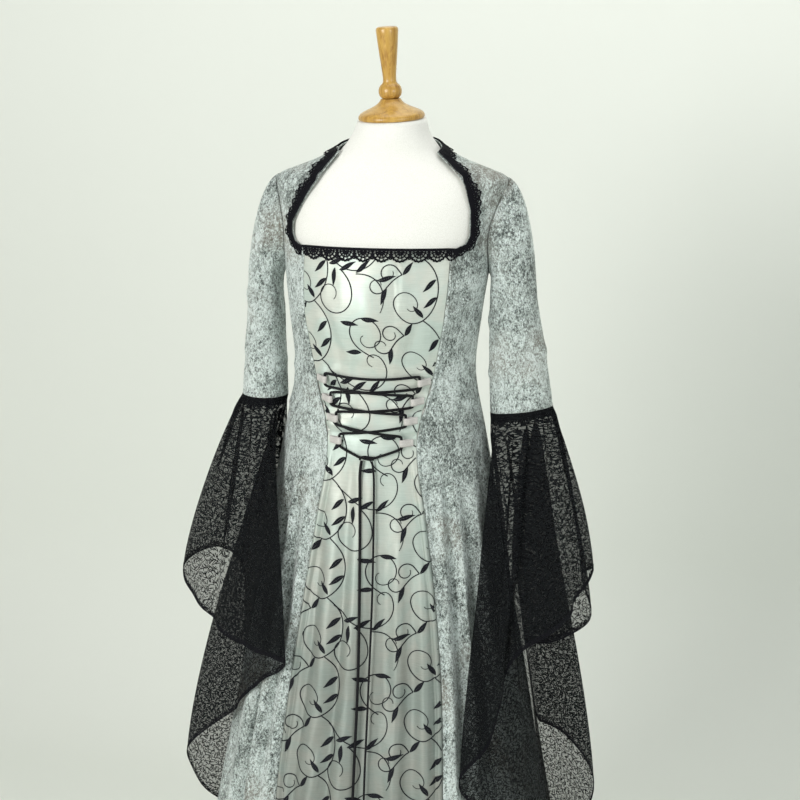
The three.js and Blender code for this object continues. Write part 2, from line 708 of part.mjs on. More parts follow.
function formTorso() {
  const hips = FORM.map((row) => row.height);
  const heights = [...hips, ...FORM_ROWS];
  const columns = 24;
  const rings = heights.map((height) => {
    const row = [];
    for (let j = 0; j < columns; j += 1) {
      const turn = (2 * Math.PI * j) / columns;
      if (hips.includes(height)) {
        const depth = at(FORM, height, Math.cos(turn) > 0 ? 'front' : 'back');
        row.push(point(at(FORM, height, 'half') * Math.sin(turn), -depth * Math.cos(turn), height));
      } else {
        const shoulder = THREE.MathUtils.smoothstep(height, 1360, 1396)
          - THREE.MathUtils.smoothstep(height, 1440, 1460);
        const p = onSkin(turn, height, -FORM_CLEARANCE - SHOULDER_CLEARANCE * shoulder).at;
        const tip = p.y * Math.tan(HEAD_TIP.forward) + (p.x - NECK_SHIFT) * Math.tan(HEAD_TIP.sideways);
        if (height === FORM_TOP) p.z = FORM_TOP + tip;
        row.push(p);
      }
    }
    return row;
  });
  const corners = [];
  for (let i = 0; i < rings.length - 1; i += 1) {
    for (let j = 0; j < columns; j += 1) {
      const k = (j + 1) % columns;
      corners.push(rings[i][j], rings[i][k], rings[i + 1][k]);
      corners.push(rings[i][j], rings[i + 1][k], rings[i + 1][j]);
    }
  }
  const top = rings.length - 1;
  for (let j = 1; j < columns - 1; j += 1) {
    corners.push(rings[0][0], rings[0][j + 1], rings[0][j]);
    corners.push(rings[top][0], rings[top][j], rings[top][j + 1]);
  }
  return facing(corners);
}

const turned = (outline, sides = 20) => {
  const profile = outline.map(([radius, height]) => new THREE.Vector2(radius, height));
  return new THREE.LatheGeometry(profile, sides).rotateX(Math.PI / 2);
};

add('stand_base', turned([[0, 0], [BASE_RADIUS, 0], [BASE_RADIUS, BASE_THICKNESS - 2],
  [BASE_RADIUS - 3, BASE_THICKNESS], [0, BASE_THICKNESS]], 28), 'metal');
add('stand_pole', turned([[0, BASE_THICKNESS], [POLE_RADIUS, BASE_THICKNESS],
  [POLE_RADIUS, FORM_BOTTOM], [0, FORM_BOTTOM]], 16), 'metal');
add('form_torso', formTorso(), 'jersey');

// Turned neck cap and finial, tipped a little forward and to the left with the neck
const head = new THREE.Group();
head.position.set(NECK_SHIFT, 0, FORM_TOP);
head.rotation.set(HEAD_TIP.forward, -HEAD_TIP.sideways, 0);
group.add(head);
const cap = add('neck_cap', turned([[0, 0.4], [50, 0.4], [51.5, 3], [51, 7], [47, 11], [34, 17.5],
  [22, 23], [16.5, 28], [15.5, 31.7], [0, 31.7]]), 'wood');
const finial = add('finial', turned([[0, 32], [12, 32], [16.5, 36], [18, 43], [16.5, 50], [12, 54],
  [10.2, 58], [10.6, 66], [13, 90], [16, 118], [17.2, 133], [17.2, 137], [15.5, 139.5], [0, 140.5]]), 'wood');
head.add(cap, finial);

add('front_panel', wall(frontPanel(), CLOTH, false), 'taffeta');
for (const side of ['left', 'right']) {
  add(`side_front_${side}`, wall(sideFront(side), CLOTH, false), 'velvet');
  add(`back_${side}`, wall(back(side), CLOTH, false), 'velvet');
  add(`sleeve_${side}`, wall(sleeve(side), CLOTH, true), 'velvet');
  add(`bell_${side}`, wall(bell(side), NET, true), 'net');
  const cuffTrim = bellTrim(side, [0, 1], TRIM_WIDTH);
  const hemTrim = bellTrim(side, [BELL_ROWS, BELL_ROWS - 1], HEM_TRIM_WIDTH);
  add(`cuff_trim_${side}`, wall(cuffTrim, NET + 2 * TRIM_RISE, true), 'lace');
  add(`bell_hem_trim_${side}`, wall(hemTrim, NET + 2 * TRIM_RISE, true), 'lace');
}
add('neck_trim', wall(neckTrim(), TRIM_THICKNESS, true), 'lace');

LOOP_HEIGHTS.forEach((height, k) => {
  for (const side of ['left', 'right']) {
    add(`loop_${side}_${k + 1}`, ribbonLoop(side, height), 'ribbon');
    const inside = new THREE.CylinderGeometry(CORD_RADIUS, CORD_RADIUS, LOOP.height, 8).rotateX(Math.PI / 2);
    add(`lace_in_${side}_${k + 1}`, inside, 'lace').position.copy(loopPlace(side, height));
  }
});
const loop = (side, k, down) => ({ side, height: LOOP_HEIGHTS[k], down });
add('lace_top', crossing(loop('left', 0, false), loop('right', 0, false), 4, 6), 'lace');
for (let k = 0; k < LOOP_HEIGHTS.length - 1; k += 1) {
  add(`lace_over_${k + 1}`, crossing(loop('left', k, true), loop('right', k + 1, false), 9, 2), 'lace');
  add(`lace_under_${k + 1}`, crossing(loop('right', k, true), loop('left', k + 1, false), 4, 2), 'lace');
}
add('lace_low_left', toKnot('left'), 'lace');
add('lace_low_right', toKnot('right'), 'lace');
const knot = new THREE.SphereGeometry(1, 12, 8).scale(KNOT.halfAcross, KNOT.halfDeep, KNOT.halfHigh);
add('lace_knot', knot, 'lace').position.copy(knotPlace());
add('lace_end_left', freeEnd(END_LEFT), 'lace');
add('lace_end_right', freeEnd(END_RIGHT), 'lace');

export default group;
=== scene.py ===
# %% [markdown]
# # A lace maxi dress on a dress form
#
# The dress is a long medieval style gown. Its sides, back and upper sleeves are silver crushed
# velvet, its front panel is pale taffeta with a black flocked vine, and wide bells of sheer black
# net hang from the elbows. It is laced at the waist and worn by a padded form without limbs.
#
# Each cloth piece is a thin shell bent out of a flat grid by a few short tables of sizes. Those
# tables are the same ones that shaped the solid pieces, so each shell lies where its solid lies.
# Sizes are in millimetres until a piece is made, and metres after that.

# %% Load the frame
import math
from collections import namedtuple

import bmesh
import bpy
import numpy as np
from mathutils import Matrix, Vector


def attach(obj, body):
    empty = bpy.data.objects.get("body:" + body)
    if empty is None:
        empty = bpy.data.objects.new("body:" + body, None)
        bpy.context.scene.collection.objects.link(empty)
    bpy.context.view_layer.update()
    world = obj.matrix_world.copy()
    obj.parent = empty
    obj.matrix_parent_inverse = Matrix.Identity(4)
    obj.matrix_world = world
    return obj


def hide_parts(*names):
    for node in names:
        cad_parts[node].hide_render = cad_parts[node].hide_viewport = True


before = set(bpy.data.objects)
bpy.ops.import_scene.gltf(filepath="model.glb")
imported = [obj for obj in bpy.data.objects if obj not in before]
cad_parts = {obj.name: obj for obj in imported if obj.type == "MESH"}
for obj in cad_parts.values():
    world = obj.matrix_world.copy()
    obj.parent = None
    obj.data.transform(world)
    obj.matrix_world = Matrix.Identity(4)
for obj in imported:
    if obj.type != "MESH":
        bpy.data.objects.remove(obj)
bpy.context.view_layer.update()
scene = bpy.context.scene
MM = 0.001
WELD = 1e-6  # metres between points that are joined into one
SIDES = {"left": -1, "right": 1}  # left and right as they lie in the picture
print("solid pieces:", len(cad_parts))

# %% [markdown]
# ## The camera
#
# The picture was taken from about as high as the top of the form, looking a little down, and from
# somewhat to the right of its front, with a moderately long lens. The camera comes first, because
# everything after it is judged through it.

# %% Camera
CAMERA_PLACE = (0.5849, -2.6383, 1.600)
CAMERA_TURN = (math.radians(78.4), 0, math.radians(12))
CAMERA_LENS = 77.5


def put(name, data):
    """A new object in the scene, made of a mesh, a curve, a lamp or a camera."""
    thing = bpy.data.objects.new(name, data)
    scene.collection.objects.link(thing)
    return thing


camera = put("camera", bpy.data.cameras.new("camera"))
camera.location = CAMERA_PLACE
camera.rotation_euler = CAMERA_TURN
camera.data.lens = CAMERA_LENS
camera.data.clip_end = 30
scene.camera = camera
print("camera at", CAMERA_PLACE)

# %% [markdown]
# ## Sizes that vary with height
#
# A dressmaker's block is a list of widths at known heights. A table here is the same thing: its
# rows give sizes at a few heights, and a smooth curve through the rows gives every height between.
# All the shapes below take whole arrays of places at once, which keeps the script quick.

# %% Tables of sizes


def lerp(a, b, t):
    return a + (b - a) * t


def smooth(value, low, high):
    """A soft step from 0 at low to 1 at high."""
    t = np.clip((value - low) / (high - low), 0, 1)
    return t * t * (3 - 2 * t)


def spots_of(x, y, z):
    return np.stack(np.broadcast_arrays(x, y, z), -1)


def size_of(vectors):
    return np.linalg.norm(vectors, axis=-1)


def unit(vectors):
    return vectors / size_of(vectors)[..., None]


def running(steps):
    """Running totals of some steps, from 0."""
    return np.concatenate([[0], np.cumsum(steps)])


class Table:
    """Rows of named sizes, with a smooth curve through them."""

    def __init__(self, columns, rows):
        self.columns = columns.split()
        self.rows = np.array(sorted(rows), float)

    def __call__(self, height, column):
        heights, values = self.rows[:, 0], self.rows[:, self.columns.index(column)]
        last = len(heights) - 1
        before = np.maximum(np.arange(last + 1) - 1, 0)
        after = np.minimum(np.arange(last + 1) + 1, last)
        slopes = (values[after] - values[before]) / (heights[after] - heights[before])
        k = np.clip(np.searchsorted(heights, height, side="right") - 1, 0, last - 1)
        span = heights[k + 1] - heights[k]
        t = np.clip((height - heights[k]) / span, 0, 1)
        curl = t * (1 - t) * span * (slopes[k] * (1 - t) - slopes[k + 1] * t)
        return lerp(values[k], values[k + 1], t * t * (3 - 2 * t)) + curl


BODY = Table("height half front back shift", [
    (22, 318, 246, 285, -8), (240, 285, 216, 262, -9), (450, 252, 188, 228, -8),
    (600, 228, 159, 199, -4), (750, 203, 136, 172, -1), (880, 184, 119, 148, 0),
    (1000, 163, 107, 116, 0), (1100, 146, 103, 89, 0), (1190, 154, 119, 95, 1),
    (1254, 162, 114, 102, 3), (1320, 170, 102, 99, 6), (1370, 180, 87, 90, 9),
    (1396, 185, 77, 81, 11), (1406, 178, 73, 77, 11), (1413, 162, 71, 74, 11),
    (1421, 140, 68, 71, 11), (1431, 115, 65, 68, 11), (1441, 95, 64, 66, 11),
    (1452, 78, 62, 64, 11), (1466, 66, 60, 61, 11), (1490, 57, 55, 56, 11),
])
PANEL = Table("height half", [
    (22, 150), (240, 142), (450, 134), (600, 123), (750, 106), (880, 87), (1000, 71),
    (1100, 93), (1190, 109), (1254, 114), (1301, 114),
])
NECK_EDGE = Table("height left right", [
    (1300, 121, 121), (1306, 133, 134), (1318, 138, 138), (1336, 137, 138), (1356, 128, 137),
    (1378, 117, 131), (1398, 105, 123), (1414, 95, 110), (1430, 84, 92), (1442, 76, 79),
])
HEM_HEIGHT = 22
NECKLINE = 1301
UNDERARM = 1254
ARMHOLE_TOP = 1404
NECK_EDGE_TOP = 1442
NECK_TOP = 1452
BACK_NECK = 1464
LOOP_HEIGHTS = (1095, 1065, 1035, 1001)
print("rows in the body's block:", len(BODY.rows))

# %% [markdown]
# ## The outside of the cloth
#
# Round the body the cloth is an oval whose front and back have their own depths. The skirt's
# folds stand out from it and grow towards the hem. Finer creases come from a second list: each is
# a soft ridge or trough along a short line, and no two are alike in length, depth or spacing,
# because real cloth never repeats itself.

# %% Skirt folds and the oval
# A fold stands at a turn in degrees, with half its spread, its depth at the hem in millimetres
# and the height at which it begins.
Fold = namedtuple("Fold", "turn spread depth top")
FOLDS = [Fold(*row) for row in [
    (39, 9, 15, 940), (57, 11, 20, 880), (78, 12, 17, 800), (101, 12, 22, 900),
    (126, 13, 24, 860), (152, 12, 22, 940), (178, 12, 26, 820), (-41, 10, 18, 960),
    (-60, 10, 15, 860), (-80, 12, 20, 820), (-104, 13, 20, 880), (-129, 12, 24, 920),
    (-154, 12, 20, 840),
]]
TURN_STEP = 0.004  # radians, for slopes across the cloth


def turned_from(turn, start):
    """How far a turn is from another, the short way round."""
    return np.arctan2(np.sin(turn - start), np.cos(turn - start))


def fold_at(turn, height):
    depth = 0
    for fold in FOLDS:
        away = turned_from(turn, math.radians(fold.turn)) / math.radians(fold.spread)
        grown = np.maximum((fold.top - height) / (fold.top - HEM_HEIGHT), 0)
        depth = depth + np.where(abs(away) < 1, fold.depth * grown * (1 + np.cos(np.pi * away)) / 2, 0)
    return depth


def skin(turn, height):
    """The cloth's outside at a turn round the body, 0 in front and 90 degrees at +X."""
    turn, height = np.broadcast_arrays(turn, height)
    depth = np.where(np.cos(turn) > 0, BODY(height, "front"), BODY(height, "back"))
    grow = fold_at(turn, height)
    x = BODY(height, "shift") + (BODY(height, "half") + grow) * np.sin(turn)
    return spots_of(x, -(depth + grow) * np.cos(turn), height)


def skin_normal(turn, height):
    around = skin(turn + TURN_STEP, height) - skin(turn - TURN_STEP, height)
    up = skin(turn, height + 1.0) - skin(turn, height - 1.0)
    return unit(np.cross(around, up))


def turn_at(across, height):
    """The turn, on the front, at which the cloth lies this far to +X of its centre."""
    return np.arcsin(np.clip(across / BODY(height, "half"), -1, 1))


# %% Fine creases
# Each crease runs between two places, given by turn in degrees and height. Wide is half its
# breadth in millimetres, and a negative rise is a trough.
Crease = namedtuple("Crease", "turn height end_turn end_height wide rise")
BODICE_CREASES = [
    (74, 1236, 44, 1180, 9, 2.6), (70, 1212, 50, 1150, 8, -2.2), (-74, 1238, -46, 1190, 9, 2.4),
    (-72, 1206, -54, 1140, 8, -2.0), (62, 1120, 84, 1104, 7, 2.0), (58, 1092, 88, 1074, 8, -2.2),
    (66, 1060, 92, 1050, 7, 1.9), (-60, 1112, -88, 1100, 7, 2.1), (-56, 1084, -84, 1066, 8, -2.2),
    (-64, 1048, -90, 1040, 7, 1.8), (48, 1340, 64, 1300, 10, 2.2), (-50, 1344, -66, 1304, 10, 2.2),
    (52, 1290, 58, 1210, 9, -2.2), (-52, 1296, -56, 1200, 9, -2.2), (110, 1240, 134, 1190, 10, 2.2),
    (108, 1210, 128, 1150, 9, -2.0), (-110, 1244, -136, 1196, 10, 2.2),
    (-112, 1208, -130, 1150, 9, -2.0),
    (112, 1110, 140, 1098, 7, 2.0), (108, 1082, 150, 1070, 8, -2.0), (-110, 1116, -142, 1100, 7, 2.0),
    (-106, 1078, -148, 1066, 8, -2.0), (176, 1160, 179, 1010, 10, -2.0), (150, 1370, 168, 1330, 10, 1.8),
    (-150, 1366, -166, 1322, 10, 1.8),
]
LACING_CREASES = [
    (-36, 1086, -12, 1079, 4.5, -3.4), (-34, 1062, -16, 1055, 4.5, 2.9), (-33, 1052, -8, 1046, 5, -3.4),
    (-30, 1024, -12, 1020, 4.5, 2.7), (-29, 1014, -6, 1010, 5, -3.2), (36, 1084, 16, 1076, 4.5, -3.2),
    (34, 1058, 12, 1054, 4.5, 2.7), (32, 1048, 10, 1040, 5, -3.4), (30, 1020, 14, 1018, 4.5, 2.7),
    (28, 1012, 8, 1003, 5, -3.1), (-38, 1100, -20, 1112, 6, 2.7), (38, 1102, 22, 1116, 6, 2.5),
    (-20, 1134, 14, 1126, 8, 1.5), (-30, 1210, -18, 1120, 10, -2.5), (31, 1205, 22, 1130, 10, -2.5),
    (-6, 1250, 5, 1150, 18, 2.4), (12, 1270, 16, 1180, 12, -2.0), (-16, 1280, -15, 1200, 12, 1.9),
]
PANEL_CREASES = [
    (-24.5, 930, -25.5, 60, 9, -5.4), (-17.5, 900, -18, 60, 15, 6.6), (-11, 960, -12, 60, 10, -6.6),
    (-5.5, 930, -6.5, 80, 13, 6.0), (1.5, 880, 0.5, 60, 12, -4.2), (8, 940, 6.5, 60, 16, -6.6),
    (14.5, 860, 14, 300, 11, 5.4), (19.5, 800, 20, 60, 13, -7.5), (25.5, 900, 25, 60, 11, 6.9),
    (13, 330, 12.5, 60, 12, 6.0), (-1, 420, -1.5, 60, 10, 3.0), (-14, 560, -22, 420, 9, -2.7),
    (4, 640, 12, 500, 10, 2.7), (-20, 330, -14, 180, 10, -3.0),
]
SKIRT_CREASES = [
    (36.5, 930, 36.8, 60, 6, 7.5), (41, 960, 41.6, 60, 7, -10.6), (46.5, 940, 47.5, 60, 8, 8.8),
    (52, 900, 54, 60, 8, -9.4), (60, 930, 62, 60, 10, 7.5), (-36, 930, -35.4, 60, 6, 6.2),
    (-40.5, 900, -40, 60, 6, -8.8), (-46, 960, -45, 60, 9, 8.1), (-51.5, 930, -51, 60, 7, -9.4),
    (-58, 930, -58, 60, 10, 4.5), (70, 1000, 72, 500, 13, -4.2), (86, 1010, 84, 420, 12, 4.2),
    (-70, 1010, -70, 450, 13, -4.2), (-86, 1000, -84, 480, 12, 4.0), (112, 980, 114, 300, 13, -4.5),
    (120, 1040, 126, 700, 13, 4.0), (-118, 1036, -122, 640, 13, 4.0), (150, 1050, 154, 760, 12, 3.5),
    (-150, 1046, -152, 700, 12, 3.5), (166, 900, 165, 200, 13, -4.5), (-166, 940, -167, 260, 13, -4.2),
    (-114, 860, -115, 200, 12, -4.0), (140, 880, 139, 180, 12, -4.0), (-141, 900, -140, 220, 12, -4.2),
]
CREASES = [Crease(*row) for row in BODICE_CREASES + LACING_CREASES + PANEL_CREASES + SKIRT_CREASES]


def crease_at(turn, height):
    """How far the fine creases lift the cloth at a place."""
    radius = BODY(height, "half")
    lift = 0
    for crease in CREASES:
        start = math.radians(crease.turn)
        dx, dz = (math.radians(crease.end_turn) - start) * radius, crease.end_height - crease.height
        qx, qz = turned_from(turn, start) * radius, height - crease.height
        along = (qx * dx + qz * dz) / (dx * dx + dz * dz)
        held = np.clip(along, 0, 1)
        away = np.hypot(qx - held * dx, qz - held * dz) / crease.wide
        fade = smooth(along, -0.15, 0.3) * smooth(1 - along, -0.15, 0.3)
        lift = lift + crease.rise * np.exp(-away * away) * fade
    return lift


def lie(turn, height, out):
    """A place on the creased cloth, moved out from it by some millimetres."""
    lift = np.asarray(out + crease_at(turn, height))
    return skin(turn, height) + skin_normal(turn, height) * lift[..., None]


print("creases:", len(CREASES))

# %% [markdown]
# ## Bending flat drawings into cloth
#
# Cloth is cut flat and then bent, and so is everything here. A grid is made flat, and a function
# says where each of its points goes on the body. A trim or a print is first drawn flat too, as
# narrow strips: x runs along it, y across it and z out of it. Repeats are copied while it is still
# flat, and then the whole drawing is bent onto its piece in one go.

# %% Grids and strips
CLOTH = 1.5


def grid_shape(columns, rows, place, cut=None):
    """A bmesh grid whose points go where place(s, t) says, s and t from 0 to 1. cut(s, t) gives
    each point's flat place in millimetres, kept in metres as the UV map named cut."""
    bm = bmesh.new()
    bmesh.ops.create_grid(bm, x_segments=columns, y_segments=rows, size=0.5)
    shares = np.array([vert.co[:2] for vert in bm.verts]).T + 0.5
    for vert, spot in zip(bm.verts, place(*shares) * MM):
        vert.co = spot
    if cut:
        uv = bm.loops.layers.uv.new("cut")
        bm.verts.index_update()
        flat = np.stack(cut(*shares), -1) * MM
        for face in bm.faces:
            for loop in face.loops:
                loop[uv].uv = flat[loop.vert.index]
    for face in bm.faces:
        face.smooth = True
    return bm


def strip(bm, line, low, high, level=0.0):
    """A flat strip along a line of points, between two distances to the left of the line."""
    line = np.asarray(line, float)
    count = len(line)
    ahead = unit(np.gradient(line, axis=0))
    left = np.stack([-ahead[:, 1], ahead[:, 0]], -1)
    low, high = (np.broadcast_to(edge, count) for edge in (low, high))
    made = bmesh.ops.create_grid(bm, x_segments=count - 1, y_segments=1, size=0.5)["verts"]
    for vert in made:
        k = round((vert.co.x + 0.5) * (count - 1))
        reach = high[k] if vert.co.y > 0 else low[k]
        vert.co = (*(line[k] + left[k] * reach), level)


def verts_among(geometry):
    return [item for item in geometry if isinstance(item, bmesh.types.BMVert)]


def repeat(bm, unit_drawn, place, step, count):
    """Draws a unit at a place (x, y), and again after each step (x, y), count times in all."""
    parts = (bm.verts, bm.edges, bm.faces)
    before = [len(part) for part in parts]
    unit_drawn(bm)
    drawn = [item for part, n in zip(parts, before) for item in part[n:]]
    bmesh.ops.translate(bm, vec=(*place, 0), verts=verts_among(drawn))
    for k in range(1, count):
        made = bmesh.ops.duplicate(bm, geom=drawn)["geom"]
        bmesh.ops.translate(bm, vec=(k * step[0], k * step[1], 0), verts=verts_among(made))


def bend(bm, place):
    """Lays a flat drawing on a piece, by place(along, across, out)."""
    flat = np.array([vert.co for vert in bm.verts]).T
    bent = place(*flat)
    above = place(flat[0], flat[1], flat[2] + 1.0) - bent
    for vert, spot in zip(bm.verts, bent):
        vert.co = spot * MM
    bm.verts.index_update()
    bm.normal_update()
    if sum(face.normal.dot(Vector(above[face.verts[0].index])) for face in bm.faces) < 0:
        bmesh.ops.reverse_faces(bm, faces=bm.faces)


def face_out(bm, centre):
    """Turns all faces away from an upright line at a place (x, y) in millimetres."""
    bm.normal_update()
    score = 0
    for face in bm.faces:
        away = face.calc_center_median() - Vector((centre[0] * MM, centre[1] * MM, 0))
        score += face.normal.dot(Vector((away.x, away.y, 0))) * face.calc_area()
    if score < 0:
        bmesh.ops.reverse_faces(bm, faces=bm.faces)


def object_from(name, bm, look):
    mesh = bpy.data.meshes.new(name)
    bm.normal_update()
    bm.to_mesh(mesh)
    bm.free()
    mesh.materials.append(look)
    return put(name, mesh)


def piece_from(name, bm, look):
    """Makes an object of a bmesh, riding on the only body."""
    piece = object_from(name, bm, look)
    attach(piece, "root")
    return piece


def thicken(piece, thickness, offset=-1):
    wall = piece.modifiers.new("wall", "SOLIDIFY")
    wall.thickness = thickness * MM
    wall.offset = offset
    return piece


def area_of(piece):
    return sum(polygon.area for polygon in piece.data.polygons)


def cloth_piece(name, look, columns, rows, place, centre=(3, 0)):
    """A cloth shell laid by place(s, t). Its faces look away from the centre line."""
    bm = grid_shape(columns, rows, place)
    bmesh.ops.remove_doubles(bm, verts=bm.verts, dist=WELD)
    face_out(bm, centre)
    piece = thicken(piece_from(f"{name}_cloth", bm, look), CLOTH)
    print(f"{name}: {area_of(piece):.3f} square metres")
    return piece


# %% [markdown]
# ## Finishes
#
# Each finish is a Principled shader. Cloth gets most of its character from small things: threads,
# pile and a soft sheen at grazing angles. All patterns read the object's own coordinates or the
# cut map, so they stay on the cloth when the view turns.

# %% Node helpers


def new_look(name):
    look = bpy.data.materials.new(name)
    look.use_nodes = True
    shader = next(node for node in look.node_tree.nodes if node.type == "BSDF_PRINCIPLED")
    return look, look.node_tree, shader


def feed(tree, node, inputs):
    """Gives a node's inputs their numbers, or links them to sockets."""
    for key, value in inputs.items():
        if isinstance(value, bpy.types.NodeSocket):
            tree.links.new(value, node.inputs[key])
        else:
            node.inputs[key].default_value = value


def add(tree, kind, inputs, **settings):
    node = tree.nodes.new(kind)
    for key, value in settings.items():
        setattr(node, key, value)
    feed(tree, node, inputs)
    return node


def maths(tree, operation, a, b=0.0, c=0.0):
    return add(tree, "ShaderNodeMath", {0: a, 1: b, 2: c}, operation=operation).outputs[0]


def weigh(tree, parts):
    """The sum of values, each times its own weight."""
    total = 0.0
    for value, weight in parts:
        total = maths(tree, "MULTIPLY_ADD", value, weight, total)
    return total


def ramp(tree, value, stops):
    """A colour ramp. Stops are (place, grey or colour)."""
    node = add(tree, "ShaderNodeValToRGB", {0: value})
    elements = node.color_ramp.elements
    while len(elements) < len(stops):
        elements.new(0.5)
    for element, (place, colour) in zip(elements, stops):
        element.position = place
        rgb = (colour,) * 3 if isinstance(colour, (int, float)) else colour
        element.color = (*rgb, 1)
    return node.outputs[0]


def blend(tree, share, a, b, kind="MIX"):
    """A mix of two colours, the second by its share."""
    inputs = {0: share, 6: a, 7: b}
    return add(tree, "ShaderNodeMix", inputs, data_type="RGBA", blend_type=kind).outputs[2]


def bump(tree, height, distance, strength, **under):
    """A bumped normal, laid over another where Normal is given."""
    inputs = {"Height": height, "Distance": distance, "Strength": strength, **under}
    return add(tree, "ShaderNodeBump", inputs).outputs[0]


def object_place(tree, scale=(1, 1, 1)):
    where = add(tree, "ShaderNodeTexCoord", {}).outputs["Object"]
    return add(tree, "ShaderNodeMapping", {"Vector": where, "Scale": scale}).outputs[0]


def apart(tree, vector):
    """The three values of a vector."""
    return add(tree, "ShaderNodeSeparateXYZ", {0: vector}).outputs


def cloud(tree, where, scale, detail, rough=0.6, twist=0.0):
    """A noise texture's value."""
    inputs = {"Vector": where, "Scale": scale, "Detail": detail, "Roughness": rough, "Distortion": twist}
    return add(tree, "ShaderNodeTexNoise", inputs).outputs[0]


# %% [markdown]
# ### Crushed velvet
#
# The pile of crushed velvet is pressed flat in all directions. Where it leans towards the light it
# shines almost white, and where it leans away it goes a dull grey. So four sizes of cloudy noise
# are added together, stretched a little down the cloth, and drive colour, gloss and a fine bump.
# That colour is partly the pile's own uneven tone and partly painted light: its near-white end is a
# painted sheen and its darkest end a painted shade. A slow cloud warms some patches, where the
# backing shows through.

# %% Crushed velvet
# The dark and pale ends are partly the pile's own colour, partly painted shade and painted sheen.
VELVET_DARK_AND_SHADE = (0.068, 0.082, 0.077)
VELVET_MIDDLE = (0.445, 0.51, 0.485)
VELVET_PALE_AND_SHINE = (0.91, 1.0, 0.98)
VELVET_WARM = (0.34, 0.30, 0.25)
VELVET_FLECKS = 210  # flecks to a metre

velvet, tree, shader = new_look("crushed_velvet")
where = object_place(tree, (1, 1, 0.66))
mixed = weigh(tree, [
    (cloud(tree, where, 14, 2, 0.5, 1.0), 0.15), (cloud(tree, where, 60, 3, 0.6, 1.8), 0.17),
    (cloud(tree, where, VELVET_FLECKS, 4, 0.7, 1.6), 0.34),
    (cloud(tree, where, 480, 3, 0.75, 0.8), 0.34)])
# Painted sheen and shade: the mottle runs from a painted dark shade to a near-white painted sheen.
tone = ramp(tree, mixed, [(0.436, VELVET_DARK_AND_SHADE), (0.488, VELVET_MIDDLE), (0.552, VELVET_PALE_AND_SHINE)])
warm = ramp(tree, cloud(tree, object_place(tree), 9, 2, 0.5), [(0.53, 0.0), (0.68, 0.75)])
shade = maths(tree, "MULTIPLY", warm, ramp(tree, mixed, [(0.44, 1.0), (0.54, 0.15)]))
feed(tree, shader, {
    "Base Color": blend(tree, shade, tone, (*VELVET_WARM, 1)), "Metallic": 0.2,
    "Roughness": ramp(tree, mixed, [(0.40, 0.8), (0.58, 0.34)]),
    "Sheen Weight": 0.2, "Sheen Roughness": 0.35, "Normal": bump(tree, mixed, 0.012, 0.8)})
print("velvet flecks of about", round(1000 / VELVET_FLECKS), "mm")

# %% [markdown]
# ### Taffeta and its flock
#
# Taffeta is a crisp plain weave that shimmers almost like metal, with threads of two colours: here
# a pale green-grey and a warm silver. Slubs show as faint lines across it, and it never lies quite
# flat. It turns away from the light and so darkens towards the hem, and that fall of light is also
# painted into its colour as a shade that grows towards the hem. The flock is dull black.

# %% Taffeta and flock
TAFFETA_COOL = (0.545, 0.665, 0.59)
TAFFETA_WARM = (0.635, 0.675, 0.59)
FLOCK_DARK = (0.004, 0.005, 0.008)
FLOCK_LIGHT = (0.012, 0.013, 0.019)

taffeta, tree, shader = new_look("taffeta")
where = object_place(tree)
shimmer = ramp(tree, cloud(tree, where, 17, 3, 0.6, 0.8), [(0.38, TAFFETA_COOL), (0.62, TAFFETA_WARM)])
slub = cloud(tree, object_place(tree, (40, 40, 1100)), 1, 3, 0.6)
lines = ramp(tree, slub, [(0.3, 0.46), (0.7, 0.80)])
# Painted shade: the base colour is darkened towards the hem, where the light falls off.
painted_hem_shade = ramp(tree, apart(tree, where)[2], [(0.62, 0.48), (1.0, 0.95)])
woven = blend(tree, 0.25, shimmer, lines)
rumple = cloud(tree, object_place(tree, (1, 1, 0.35)), 15, 2, 0.45, 0.6)
feed(tree, shader, {
    "Base Color": blend(tree, 1.0, woven, painted_hem_shade, "MULTIPLY"), "Metallic": 0.34, "Roughness": 0.5,
    "Normal": bump(tree, slub, 0.0003, 0.5, Normal=bump(tree, rumple, 0.02, 0.45))})

flock, tree, shader = new_look("flock")
fuzz = cloud(tree, object_place(tree), 2600, 2)
feed(tree, shader, {
    "Base Color": ramp(tree, fuzz, [(0.3, FLOCK_DARK), (0.7, FLOCK_LIGHT)]),
    "Roughness": 0.75, "Specular IOR Level": 0.25, "Normal": bump(tree, fuzz, 0.0003, 0.6)})
print("taffeta and flock ready")

# %% [markdown]
# ### Sheer net
#
# The bells are a fine net, strewn with short black dashes that lie at all angles and often cross.
# The net itself is too fine to see, so it only greys what is behind it. A Voronoi texture gives
# each dash a cell of its own: the place inside the cell is turned by the cell's random number, and
# the dash is where the turned place lies within a narrow box. Five such layers are laid together.

# %% Sheer net
DASH_CELL = 0.0078  # metres
DASH_LONG = 0.39  # half a dash's length and its breadth, as shares of its cell
DASH_THIN = 0.070
DASH_BEND = 0.3
DASH_LAYERS = ((0.0, 1.0), (0.37, 0.93), (0.71, 1.07), (0.53, 0.87), (0.19, 0.97))  # shift, scale
NET_VEIL = 0.56  # how much the plain net hides

